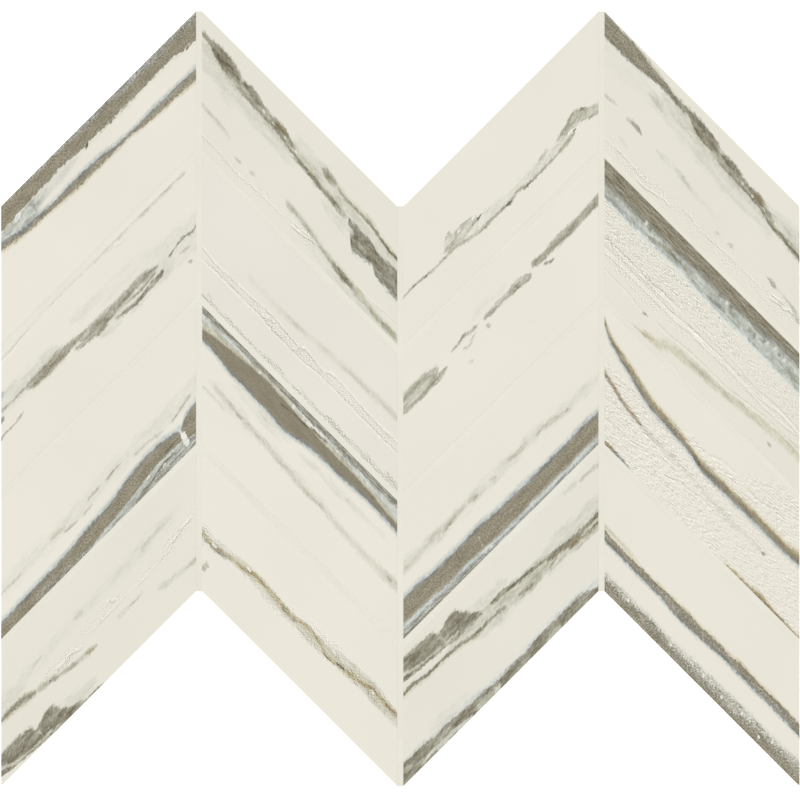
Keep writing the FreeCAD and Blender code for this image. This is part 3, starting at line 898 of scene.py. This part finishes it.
PRINTS[3, 3] = "cream", [
    mist([(0, 22.5, 28), (20, 22.5, 28), (45, 22, 27, 0.8), (62, 24, 29, 0.8), (END, 25, 29, 0.5)],
        soft=3),
    Vein("tan", [(0, 24.6, 27.5, 0.7), (6, 25, 27, 0.6), (12, 23.6, 26.4, 0.8), (20, 23.9, 26.4, 0.9),
        (22.5, 24.6, 26)], soft=1.4),
    stroke("green", [(15.6, 26.2), (18.6, 25.8)], 1.4, soft=1.0),
    Vein("tan", [(24.6, 23.8, 25.4), (27, 24.4, 26.6)], soft=1.0),
    stroke("tan", [(32.4, 24.6), (34, 25.8)], 1.4, soft=1.0),
    Vein("tan", [(39.4, 23.2, 24.6), (43, 23.4, 25.6), (45.4, 23.6, 25.4)], soft=1.2),
    Vein("tan", [(49.6, 24.6, 25.6), (52, 23.8, 25.8), (55, 24.4, 26.6), (58, 26, 27.3), (62, 27.2, 28)],
        soft=1.0),
    Vein("crystal", [(0, 48.4, 58), (15, 48.8, 58), (27, 49, 58), (32, 50.4, 58), (END, 50.6, 58)],
        grit=1.0, soft=1.4, above=("blue", 2.6, 0.8), lip=("slate", 1.4, 0.7)),
    Vein("taupe", [(0, 50.2, 58, 0.8), (8, 50.8, 58), (27, 51, 58)], soft=1.6, grit=1.0),
    Vein("slab", [(0, 36.8, 46.4), (5, 36.6, 46.5), (10, 37.8, 46.7), (15, 38.1, 47.4), (28, 37.8, 47.7),
        (34, 38.8, 48.4), (40, 39, 48.9), (50, 39.5, 48.7), (60, 39.6, 48.9), (66, 39.2, 48.4),
        (END, 39.8, 48.9)], wander=0.3, grit=0.7, worn=0.0, above=("blue", 3.2, 0.95),
        below=("blue", 1.8, 0.6), lip=("slate", 1.8, 1.0), sill=("tan", 1.6, 0.4)),
    stroke("tan", [(28, 42, 0.6), (28.8, 44.2, 0.4), (29.6, 46.2, 0.8)], 0.6, grit=0.3, taper=0.8),
]
PRINTS[3, 4] = "sage", [
    mist([(24, 15, 22, 0.8), (36, 17, 27), (48, 18, 27), (58, 18, 26, 0.9), (66, 17, 22, 0.6)], soft=3),
    mist([(50, 15.6, 19, 0.6), (58, 15, 21), (66, 15, 22), (END, 14.8, 22)], soft=2, worn=0.1),
    mist([(20, 15.4, 20, 0.5), (28, 15.4, 23, 0.6), (38, 16, 25, 0.6), (48, 17, 26, 0.8),
        (58, 20, 26.4, 0.7), (END, 20.6, 28, 0.8)], "green", soft=2.5, worn=0.2),
    mist([(24, 9.6, 13, 0.6), (29, 10, 14.4), (36, 11.4, 15)], soft=2, worn=0.2),
    *CREST,
    Vein("moss", [(33, 15.4, 16.8), (38, 15.8, 17.6), (43, 17, 19), (47, 17.9, 19.6), (52, 18.9, 20.4),
        (56, 19.8, 21.6), (61, 21.2, 23.6), (66, 21.6, 24.2), (69, 21.8, 23.8), (END, 21.8, 23.8)],
        above=("frost", 2.0, 0.6), below=("olive", 2.2, 0.7)),
    stroke("moss", [(54, 21), (58, 22.8), (62, 23.4)], 1.0),
    Vein("umber", [(62, 22.6, 25.4), (64, 22.8, 25.8), (66, 24, 26)], taper=1.0, soft=1.2),
    blot("dark", 63.6, 24.6, 3, 1.4, 0.7, soft=1.0),
    stroke("moss", [(67, 25.6), (70, 26), (END, 25.6)], 1.4, below=("olive", 1.6, 0.7)),
    stroke("moss", [(0, 17.3), (3, 17.4), (6, 18), (9, 19), (12, 19.1), (17, 19.2), (21, 20), (25, 21.2),
        (29, 22.2)], 1.5, above=("haze", 2.4, 0.8), below=("olive", 2.0, 0.7)),
    stroke("moss", [(30, 22), (34, 21.8), (38, 22.6)], 1.3, broken=0.15, above=("haze", 2, 0.7)),
    Vein("cloud", [(43.6, 22.6, 24), (46, 23, 25), (48, 24, 25.6)], soft=1.0),
    stroke("cloud", [(55, 24.4), (57, 23.6)], 1.0, soft=1.0),
    stroke("haze", [(60, 2.4), (64, 2.8)], 1.8, soft=1.5),
    Vein("green", [(66, 3, 4, 0.6), (70, 3.4, 4.8, 0.8), (END, 3.6, 5.4)], soft=1.4),
    Vein("frost", [(0, 41.6, 46, 0.4), (16, 42, 47, 0.7), (24, 43.4, 48, 0.8), (40, 45, 50),
        (58, 44.2, 48), (68, 44.6, 49), (END, 46, 53)], soft=2.8, grit=1.2, worn=0.4),
    mist([(12, 39, 43, 0.6), (22, 40, 44, 0.6)], soft=2.5),
    Vein("moss", [(0, 43.3, 58), (6, 43.8, 58), (10, 44.3, 58), (13, 45, 58), (20, 45.3, 58),
        (24, 45.6, 58), (30, 46.8, 58), (36, 47.2, 58), (46, 47.4, 58), (51, 46, 58), (58, 46.3, 58),
        (66, 46.8, 58), (70, 48.2, 58), (END, 50, 58)], soft=1.4, wander=0.7, grit=0.9,
        above=("ice", 2.0, 0.7), lip=("dark", 1.8, 0.4)),
    Vein("tan", [(1, 46, 48, 0.5), (5, 47.4, 50, 0.5), (9, 49.4, 51)], soft=1.2, worn=0.5, wander=1.0),
    Vein("tan", [(12, 46.8, 48.2, 0.6), (17, 46.8, 48.4, 0.6)], soft=1.0, worn=0.5, wander=1.0),
    Vein("cloud", [(38, 46.8, 54, 0.4), (50, 46.4, 54, 0.5), (62, 47, 54, 0.4), (68, 49, 54, 0.4)],
        soft=1.8, grit=1.0, worn=0.4),
    Vein("haze", [(9, 48.4, 50.2, 0.9), (14, 48.8, 50.8), (20, 49.6, 51.6), (25, 50.4, 52, 0.8)],
        soft=1.4, wander=1.0, worn=0.2),
    Vein("green", [(28, 49, 52), (32, 48.8, 52.4), (36, 49.4, 52)], soft=1.6, grit=1.2, worn=0.4),
    blot("haze", 35.2, 50.4, 2.6, 2.4, 0.8),
    Vein("green", [(54.6, 49.4, 52.4, 0.9), (57.8, 49.4, 52.4, 0.9)], soft=1.8, grit=1.0),
]
PRINTS[4, 1] = "sage", [
    mist([(0, 9, 19, 0.3), (12, 9, 19, 0.3), (18, 11, 18, 0.6), (22, 12, 18), (27, 12, 16, 0.5)],
        soft=2.5),
    Vein("green", [(17.4, 13.4, 15.4, 0.4), (20, 13.8, 16.4, 0.6), (23, 14.4, 17, 0.4)], soft=2.4,
        grit=1.0),
    Vein("taupe", [(0, 0, 9.4), (5, 0.9, 9.2), (10, 1.1, 9.3), (13, 1.6, 8.7), (17, 2.7, 7.9),
        (22, 3.8, 7.4), (26, 5, 7.6), (30, 5.6, 7.8)], soft=1.6, wander=0.7, grit=0.8, worn=0.0,
        above=("olive", 1.8, 0.7), below=("frost", 2.4, 0.7), sill=("dark", 2.4, 0.4)),
    *moved(BRAID, 28.5, -1.7),
    stroke("moss", [(59, 13.4), (61, 14.4), (63, 15.8)], 1.0, broken=0.3),
    stroke("moss", [(62, 17.6), (64, 18.4), (66, 17.8)], 1.3),
    Vein("moss", [(66, 17.8, 19), (69, 18, 19.6), (END, 18.4, 20.6)], worn=0.2),
    stroke("green", [(62, 13), (66, 13.2), (69, 14.4)], 1.0, broken=0.4, soft=1.0),
    mist([(62, 10, 15, 0.5), (68, 11, 17, 0.6)], soft=2.5),
    Vein("green", [(0.6, 30.2, 31.4, 0.8), (4, 30, 31, 0.8)], soft=1.4),
    Vein("moss", [(8.5, 31.4, 32.2, 0.5), (11, 30.4, 32.4, 0.8), (13, 30.6, 32.6, 0.8)], soft=1.6),
    Vein("green", [(20, 32.2, 33.2, 0.6), (22, 32.4, 33.4, 0.6)], soft=1.4),
    Vein("green", [(27, 32, 33.4, 0.6), (30, 32.4, 34.4), (32, 33.4, 34.6, 0.8)], soft=1.6),
    mist([(24, 31, 34, 0.6), (36, 33.6, 36, 0.7), (40, 34.4, 36, 0.5)], soft=2),
    Vein("moss", [(61, 38.2, 39, 0.7), (63, 38, 39.8, 0.8)], soft=1.4),
    Vein("green", [(62, 37.8, 39.8), (65, 38.4, 39.6, 0.7), (69, 39.4, 41), (71, 40, 41.4, 0.8)],
        soft=1.6, broken=0.3),
    Vein("green", [(70.5, 40.6, 43.4, 0.5), (END, 41, 44.4, 0.7)], soft=2),
    stroke("haze", [(6, 41.6), (8, 42)], 1.4, soft=1.2),
    *strokes("tan", 1.0, [(41.4, 41.6), (42.4, 40.6)], [(46.4, 40.8), (47.6, 40.2)], soft=1.0),
    Score([(0, 47.6), (4, 47), (9, 46.8), (13, 48)], 1.8),
    Score([(14.5, 50.8), (18, 49.6), (20, 49.4), (22, 48)], 2.8, broken=0.2),
    Score([(31, 44.6), (38, 46), (44, 45), (50, 44.4), (56, 45)], 1.8),
    Score([(62.6, 45), (65, 44.2), (67, 44.2), (69.4, 42.8)], 3.4, broken=0.0, taper=0.8),
    Score([(63, 43.4), (66, 42.6)], 2.4, broken=0.0, taper=0.8),
    Grain([(0, 46, 50, 0.6), (16, 46, 51, 1.2), (24, 43, 49, 0.6), (40, 43, 50, 0.7), (60, 43, 50, 0.7),
        (71, 41, 46)], 1.3, soft=2),
]
PRINTS[4, 2] = "sage", [
    Vein("ice", [(0, 6, 14.4), (10, 6, 14.5), (20, 6, 13.8), (28, 6, 13.4), (36, 5, 14.4), (42, 5, 14.8),
        (50, 4, 14), (END, 1, 15)], soft=1.8, grit=1.0, worn=0.0, below=("frost", 2.8, 0.9),
        sill=("blue", 1.6, 0.6)),
    Vein("flow", [(0, -3, 8.8), (15, -3, 8.6), (28, -3, 8.2), (35, -3, 7.4), (46, -3, 7.2), (60, -3, 6.2),
        (66, -3, 5.2), (END, -3, 4.8)], soft=2.4, wander=0.6, worn=0.0, sill=("slate", 2.4, 0.5)),
    Vein("grey", [(0, 8.4, 10, 0.6), (14, 8, 9.6, 0.6), (30, 7.4, 8.8, 0.6), (60, 5.8, 7.4, 0.5),
        (END, 4, 5.8, 0.5)], soft=1.8),
    stroke("moss", [(17, 12.8, 0.7), (21, 11.6, 0.7), (26, 10.8, 0.7), (30, 11.4, 0.7), (33, 12.6, 0.6)],
        1.4, soft=1.8, grit=0.9),
    *strokes("slate", 1.4, [(0, 13.6, 0.7), (6, 13.2, 0.7), (11, 14, 0.5)], [(39, 12.8, 0.6),
        (44, 12.6, 0.6)], soft=1.6),
    *[stroke("white", [(s, t + 1.4, 0.7), (s + 1.2, t, 0.7)], 0.7, taper=0.6, soft=0.8)
      for s, t in ((15, 8.2), (45, 7.6), (60, 7.6), (63, 6.6), (66.6, 7.2))],
    *[stroke("slate", [(s, t + 1.6, 0.8), (s + 1.2, t, 0.8)], 0.8, taper=0.6)
      for s, t in ((16.4, 8.4), (28, 8.2), (42, 8), (46.4, 7.8), (55.4, 9), (58.6, 8.4), (64.6, 7))],
    Grain([(0, 15, 31), (20, 15, 30), (30, 15, 28), (45, 16, 28, 0.9), (56, 16, 28, 0.7),
        (END, 16, 28, 0.7)], 1.2),
    Grain([(0, 15, 30), (20, 15, 30), (30, 15, 27), (45, 16, 27, 0.9), (56, 16, 28, 0.6),
        (END, 16, 28, 0.6)], 1.2, 0.0),
    Grain([(0, 28, 39, 1.2), (20, 28, 38, 1.1), (34, 28, 36, 0.7), (END, 29, 37, 0.7)], 1.1),
    Score([(0, 29.4), (8, 28.9), (16, 29), (25, 28.4)], -3.4, broken=0.1),
    Score([(0, 31), (8, 30.6), (16, 30.6), (25, 30)], 1.2),
    Score([(0, 32.8), (12, 32.4), (24, 32.4), (34, 31.2)], -2.6, broken=0.3),
    Score([(0, 35), (12, 34.4), (24, 34.4), (34, 33)], 2.2, broken=0.4),
    Score([(34, 31), (46, 30.8), (56, 31)], -2.6, broken=0.3),
    Score([(36, 27.6), (50, 27.4)], 1.4),
    Score([(36, 33.4), (48, 32.8), (60, 33.4), (END, 31.8)], 2.0, broken=0.4),
    Score([(54, 29.8), (66, 28.4), (END, 29.2)], -2.4, broken=0.4),
    Score([(58, 31.4), (66, 30), (END, 30.8)], 2.2, broken=0.3),
    Score([(22, 42), (32, 40.4), (46, 40), (54, 38), (60, 36.8), (END, 36.2)], -2.0, broken=0.4),
    Score([(0, 41.4), (8, 41.8), (14, 42.8)], -1.6),
    Vein("olive", [(11, 51, 53), (16, 49.6, 52), (20, 47.6, 50.6), (23, 44.4, 48.6), (34, 42.2, 46.2),
        (46, 40.8, 44.2), (58, 38.2, 42), (END, 36.8, 40.4)], soft=2.6, worn=0.5, grit=1.0),
    stroke("ochre", [(14, 50.6, 0.6), (18, 49.4, 0.6)], 1.4, soft=1.4),
    stroke("green", [(30, 44.6, 0.7), (44, 42.6, 0.7), (56, 40.4, 0.5)], 1.6, soft=2),
    blot("tan", 61.4, 45.2, 1.8, 1.4),
    stroke("moss", [(14.6, 43.2), (15.4, 42.6)], 0.8),
]
PRINTS[4, 3] = "cream", [
    Grain([(48, 13, 19, 0.4), (57, 8, 20, 0.8), (64, 2, 20), (END, 0, 20)], 1.5, 0.12, soft=3),
    Grain([(26, 17, 21, 0.6), (34, 16, 21), (46, 16, 21, 0.8), (54, 16, 20, 0.7)], 1.6, 0.12),
    Grain([(0, 20, 53), (20, 22, 53), (34, 26, 53), (50, 27, 53, 0.7), (END, 27, 53, 0.7)], 1.3, 0.12,
        soft=3),
    Grain([(0, 20, 53, 0.7), (30, 22, 53, 0.7), (END, 27, 53, 0.7)], 1.1, soft=3),
    Vein("umber", [(0, 4.7, 6.8), (1.5, 7.8, 10.2), (5, 11, 13.4), (8, 12.5, 15.4), (12, 14.2, 18),
        (15, 16.5, 19.8), (18, 17.6, 21.2), (26, 18.7, 21.9), (31, 20.4, 22.9), (36, 22, 25),
        (45, 21.8, 25.1), (55, 21.4, 24.8), (66, 21.5, 24.8), (END, 20.1, 24.1)], soft=1.6, wander=0.4,
        worn=0.0, above=("amber", 2.6, 0.95), below=("blue", 2.8, 0.95), lip=("ochre", 1.6, 0.6),
        sill=("slate", 2.0, 0.9)),
    stroke("dark", [(33.4, 23.4, 0.7), (38, 23.8, 0.7), (46, 23.2, 0.5)], 1.2, soft=1.4, broken=0.3),
    Vein("umber", [(0, 24, 26.2), (3, 25.8, 28), (6, 28, 29.8), (10, 29.6, 31), (13.4, 30.5, 31.4)],
        soft=1.4, above=("amber", 1.8, 0.8), below=("frost", 1.6, 0.7)),
    stroke("tan", [(15, 31, 0.6), (25, 31.4, 0.5), (36, 32, 0.4), (48, 33, 0.4), (58, 33.2, 0.5)], 1.8,
        soft=2, broken=0.4),
    stroke("umber", [(25, 31, 0.5), (26, 30, 0.5)], 0.8),
    Vein("umber", [(58.6, 33.2, 34, 0.9), (59.8, 32.4, 33.2, 0.7)], taper=0.6, below=("frost", 1.2, 0.6)),
    mist([(40, 32.5, 35, 0.7), (48, 32.5, 35, 0.8)], soft=2),
    Vein("ochre", [(45, 51.2, 54), (53, 50.6, 54), (58, 49.4, 54), (62, 50.2, 54), (66, 51, 54),
        (END, 51, 54)], soft=1.4, above=("amber", 1.6, 0.7)),
    Vein("umber", [(52, 51.2, 54), (60, 50.4, 54), (END, 51.2, 54)], soft=1.2),
    Vein("umber", [(0, 50.8, 54), (2, 50, 54), (5, 50.6, 54)], above=("amber", 1.4, 0.8)),
    Vein("slate", [(4.6, 50, 54), (7, 50.4, 54), (9, 51.2, 54)], soft=1.2),
    Score([(0, 34), (8, 33), (16, 32.6), (24, 33.4)], -2.0, broken=0.5),
    Score([(0, 42), (10, 40.6), (18, 38), (24, 36)], -2.0, broken=0.5),
    Score([(0, 22), (10, 21), (16, 20.4)], 1.6),
    Score([(0, 49), (14, 46.8), (24, 44)], -1.8),
    Score([(20, 41), (30, 37.6), (38, 36)], -1.8),
    Score([(36, 17.4), (46, 14)], -2.0, broken=0.4),
    Score([(56, 15.6), (64, 13)], -2.4, broken=0.3),
]
PRINTS[4, 4] = "cream", [
    Vein("olive", [(0, 26.4, 28), (6, 26.6, 28), (12, 27.2, 28.6, 0.5)], soft=1.6),
    Vein("slab", [(0, 28.9, 32.6), (6, 29.6, 32.8), (20, 29.4, 32.9), (25, 28.9, 33.7), (30, 28.7, 34),
        (36, 29.2, 33.5), (40, 28.5, 32.9), (47, 29, 32.3), (50, 28, 32.5), (60, 28.5, 32.6),
        (END, 28.7, 32.8)], soft=0.7, wander=0.4, grit=0.8, worn=0.0, above=("amber", 2.0, 0.9),
        below=("blue", 2.0, 0.9), sill=("slate", 1.6, 0.9), lip=("rust", 1.2, 0.5)),
    Vein("gravel", [(0, 30, 32, 0.6), (12, 30, 31.6, 0.2), (26, 29.8, 32.2, 0.5), (44, 29.6, 31.6, 0.4),
        (60, 29.6, 31.2, 0.6), (END, 28.6, 30.6, 0.7)], soft=1.2, worn=0.5),
    stroke("tan", [(36.4, 31, 0.6), (37, 33, 0.6)], 1.0, taper=0.8),
    Vein("speckled", [(0, 44.8, 54), (12, 45, 54), (18, 44.4, 54), (23, 45.4, 54), (33, 44.8, 54),
        (46, 44.2, 54), (52, 43.5, 54), (62, 43.9, 54), (END, 42.8, 54)], soft=2.6, grit=1.3, worn=0.25,
        above=("haze", 2.4, 0.8)),
    Vein("taupe", [(0, 47.4, 56), (18, 46.8, 56), (30, 48, 56), (36, 48.4, 56), (50, 47.8, 56),
        (64, 46.4, 56), (END, 45.4, 56)], soft=3.2, grit=1.4),
    *[Vein("white", [(s, t, t + 1.1), (s + 0.5, t - 0.6, t + 0.6)], taper=0.4, soft=0.7, grit=0.4)
      for s, t in ((24.4, 46.8), (36.6, 46), (50.8, 46), (62.2, 45), (8.6, 46), (43.4, 47), (57.2, 48.4))],
]


def dress(name, material):
    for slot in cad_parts[name].material_slots:
        slot.material = material


def dress_tiles():
    for (column, row), (ground, features) in PRINTS.items():
        dress(tile_name(column, row), TilePrint(column, row, ground).finish(features))


# The grout: its tones on the face and on its bare ends, its sand and patches as noises, and its finish
GROUT_FACE = tones([(229, 225, 213), (234, 231, 219), (238, 235, 224)])
GROUT_ENDS = tones([(196, 190, 177), (207, 202, 189), (216, 211, 199)])
GROUT_SAND = (2.2, 3.0, 0.7)
GROUT_PATCHES = 0.05
GROUT_ROUGHNESS = (0.75, 0.9)
GROUT_RELIEF = 0.03 * MM


def grout_material():
    """Sandy cement, as cream as the tiles on its face and darker on its bare ends."""
    graph = Graph("sanded_grout")
    place, place_mm = graph.place()
    sand = graph.noise(place_mm, *GROUT_SAND)
    patches = graph.noise(place_mm, GROUT_PATCHES)
    tone = graph.total(graph.math("MULTIPLY", sand, 0.6), (patches, 0.4))
    face = graph.on_face(graph.node("SeparateXYZ", place).outputs[2])
    colour = graph.mix(face, graph.ramp(tone, GROUT_ENDS), graph.ramp(tone, GROUT_FACE))
    roughness = graph.step(sand, *NOISE_RANGE, *GROUT_ROUGHNESS)
    return graph.finish(colour, roughness, sand, GROUT_RELIEF)


# The net: flat yarns across, each held between two thinner upright yarns that twist round each other
NET_PITCH = 6 * MM
WEFT_WIDTH = 1.1 * MM
WARP_WIDTH = 0.55 * MM
YARN_THICKNESS = 0.12 * MM
WARP_SWING = 0.32 * MM
WARP_STEPS = 5
WEFT_STEP = 3 * MM
# Corners of a yarn's section, in parts of its width and thickness
SECTION = ((-0.5, -0.5), (0.5, -0.5), (0.5, 0.5), (-0.5, 0.5))
# How far a yarn bends in the glue, and the lengths along and across it that set the bends apart
SWAY = 0.12 * MM
SWAY_ALONG = 11 * MM
SWAY_ACROSS = 7 * MM
# Scale of the filaments for a millimetre, across a yarn and along it
FILAMENTS_ACROSS = 9.0
FILAMENTS_ALONG = 0.15
# Distance from the middle of the net, in thicknesses of a yarn, where the upright yarns begin
WARP_LAYER = (0.6, 0.65)
FIBRE_TONES = tones([(196, 200, 198), (226, 228, 224), (243, 243, 239)], NARROW_RANGE)
FIBRE_ROUGHNESS = (0.35, 0.5)
FIBRE_RELIEF = 0.02 * MM


class Net:
    """The woven net, cut to the outline of the mesh behind the sheet."""

    def __init__(self):
        self.low, self.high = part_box("mesh_backing")
        self.peak = -(FIRST_HIGH.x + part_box(tile_name(2, 1))[0].x) / 2
        self.middle = (self.low.z + self.high.z) / 2
        self.layer = (self.high.z - self.low.z - YARN_THICKNESS) / 2
        self.vertices = []
        self.faces = []

    def climb(self, x):
        """Height of the zigzag outline at x, over its lowest point."""
        return self.peak - abs(abs(x) - self.peak)

    def holds(self, x, y):
        lift = self.climb(x)
        return self.low.y + lift <= y <= self.high.y - self.peak + lift

    def yarn(self, path, along_x):
        """A flat yarn along a path of points."""
        width = WEFT_WIDTH if along_x else WARP_WIDTH
        first = len(self.vertices)
        for x, y, z in path:
            for side, rise in SECTION:
                aside = side * width
                place = (x, y + aside) if along_x else (x - aside, y)
                self.vertices.append((*place, z + rise * YARN_THICKNESS))
        count = len(SECTION)
        last = len(self.vertices) - count
        for ring in range(first, last, count):
            following_ring = ring + count
            for corner in range(count):
                following = (corner + 1) % count
                near = (ring + corner, ring + following)
                self.faces.append((*near, following_ring + following, following_ring + corner))
        self.faces.append(tuple(reversed(range(first, first + count))))
        self.faces.append(tuple(range(last, last + count)))

    def weft(self, y):
        """One crosswise yarn, with a stretch for each part of the outline that it meets."""
        lifts = (y - self.low.y, y - self.high.y + self.peak)
        turns = [sign * turn for lift in lifts for turn in (lift, 2 * self.peak - lift) for sign in (-1, 1)]
        inner = {turn for turn in turns if self.low.x < turn < self.high.x}
        ends = sorted({self.low.x, self.high.x} | inner)
        for left, right in zip(ends, ends[1:]):
            if self.holds((left + right) / 2, y) and right - left > WEFT_WIDTH:
                count = max(1, round((right - left) / WEFT_STEP))
                places = [left + (right - left) * index / count for index in range(count + 1)]
                self.yarn([(x, y + self.sway(x, y), self.middle) for x in places], True)

    def sway(self, along, across):
        """Small bend of a yarn that runs through the glue."""
        return SWAY * math.sin(along / SWAY_ALONG + across / SWAY_ACROSS)

    def warp(self, x):
        """One pair of upright yarns. They change sides between the crosswise yarns."""
        start = self.low.y + self.climb(x)
        end = self.high.y - self.peak + self.climb(x)
        count = round((end - start) / NET_PITCH * WARP_STEPS)
        for swing, layer in ((WARP_SWING, self.layer), (-WARP_SWING, -self.layer)):
            path = []
            for index in range(count + 1):
                y = start + (end - start) * index / count
                turn = math.pi * (y - self.low.y) / NET_PITCH
                path.append((x + swing * math.cos(turn) + self.sway(y, x), y, self.middle + layer))
            self.yarn(path, False)

    def weave(self):
        inset = WEFT_WIDTH
        rows = int((self.high.y - self.low.y - 2 * inset) / NET_PITCH)
        for row in range(rows + 1):
            self.weft(self.low.y + inset + row * NET_PITCH)
        pairs = int((self.high.x - self.low.x - 2 * inset) / NET_PITCH)
        for pair in range(pairs + 1):
            self.warp((pair - pairs / 2) * NET_PITCH)
        mesh = bpy.data.meshes.new("glass_net")
        mesh.from_pydata(self.vertices, [], self.faces)
        net = bpy.data.objects.new("glass_net", mesh)
        bpy.context.scene.collection.objects.link(net)
        return net


def net_material(middle):
    """White glass fibre. Its filaments run along the yarns, and the crosswise yarns lie in the middle."""
    graph = Graph("glass_fibre")
    place, place_mm = graph.place()
    height = graph.node("SeparateXYZ", place).outputs[2]
    off = graph.math("ABSOLUTE", graph.math("SUBTRACT", height, middle))
    across = graph.noise(graph.scaled(place_mm, FILAMENTS_ALONG, FILAMENTS_ACROSS, 1.0), 1.0)
    upright = graph.noise(graph.scaled(place_mm, FILAMENTS_ACROSS, FILAMENTS_ALONG, 1.0), 1.0)
    is_warp = graph.step(off, *(part * YARN_THICKNESS for part in WARP_LAYER))
    fibre = graph.between(is_warp, across, upright)
    roughness = graph.step(fibre, *NOISE_RANGE, *FIBRE_ROUGHNESS)
    return graph.finish(graph.ramp(fibre, FIBRE_TONES), roughness, fibre, FIBRE_RELIEF)


def lay_net():
    weaving = Net()
    net = weaving.weave()
    net.data.materials.append(net_material(weaving.middle))
    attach(net, "root")
    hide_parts("mesh_backing")


# The studio: the share of the light that comes evenly from all round, a broad sun for the rest, a floor
# that glows a little, and the camera's distance and field
WORLD_SHARE = 0.9
SUN_ANGLE = math.radians(40)
SUN_TILT = math.radians(35)
SUN_TURN = math.radians(45)
FLOOR_SIZE = 8.0
FLOOR_TONES = [(0.3, (0.90, 0.90, 0.90, 1)), (0.7, (0.94, 0.94, 0.94, 1))]
FLOOR_CLOUDS, FLOOR_GRAIN = 30.0, 400.0
FLOOR_ROUGHNESS = 0.9
FLOOR_RELIEF = 0.02 * MM
FLOOR_GLOW = 0.5
WHITE = (1, 1, 1, 1)
CAMERA_DISTANCE = 4.0
FIELD = 298.24 * MM
VIEW_CENTRE = (-0.11 * MM, -0.48 * MM)
SENSOR_WIDTH = 36.0
VIEW_END = 20.0


def studio():
    """White floor, soft light from above and a long lens looking straight down."""
    bpy.ops.mesh.primitive_plane_add(size=FLOOR_SIZE)
    floor = bpy.context.object
    floor.name = "floor"
    graph = Graph("pale_floor")
    place = graph.node("TexCoord").outputs["Object"]
    tone = graph.ramp(graph.noise(place, FLOOR_CLOUDS), FLOOR_TONES)
    grain = graph.noise(place, FLOOR_GRAIN)
    glow = {"Emission_Color": WHITE, "Emission_Strength": FLOOR_GLOW}
    floor.data.materials.append(graph.finish(tone, FLOOR_ROUGHNESS, grain, FLOOR_RELIEF, **glow))
    floor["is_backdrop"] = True

    world = bpy.data.worlds.new("studio")
    world.use_nodes = True
    background = world.node_tree.nodes["Background"]
    background.inputs["Color"].default_value = WHITE
    background.inputs["Strength"].default_value = WORLD_SHARE
    bpy.context.scene.world = world

    sun = bpy.data.lights.new("soft_sun", "SUN")
    sun.angle = SUN_ANGLE
    sun.energy = (1 - WORLD_SHARE) * math.pi / math.cos(SUN_TILT)
    sun_object = bpy.data.objects.new("soft_sun", sun)
    sun_object.rotation_euler = (0, -SUN_TILT, -SUN_TURN)
    bpy.context.scene.collection.objects.link(sun_object)

    camera = bpy.data.cameras.new("camera")
    camera.sensor_width = SENSOR_WIDTH
    camera.lens = camera.sensor_width * CAMERA_DISTANCE / FIELD
    camera.clip_end = VIEW_END
    camera_object = bpy.data.objects.new("camera", camera)
    camera_object.location = (*VIEW_CENTRE, FACE_HEIGHT + CAMERA_DISTANCE)
    bpy.context.scene.collection.objects.link(camera_object)
    bpy.context.scene.camera = camera_object
    bpy.context.scene.view_settings.view_transform = "Standard"


dress_tiles()
dress("joint_grout", grout_material())
lay_net()
studio()

SIZES = {"cad": CAD_BOX, "visual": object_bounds()}
{kind: [list(corner) for corner in box] for kind, box in SIZES.items()}
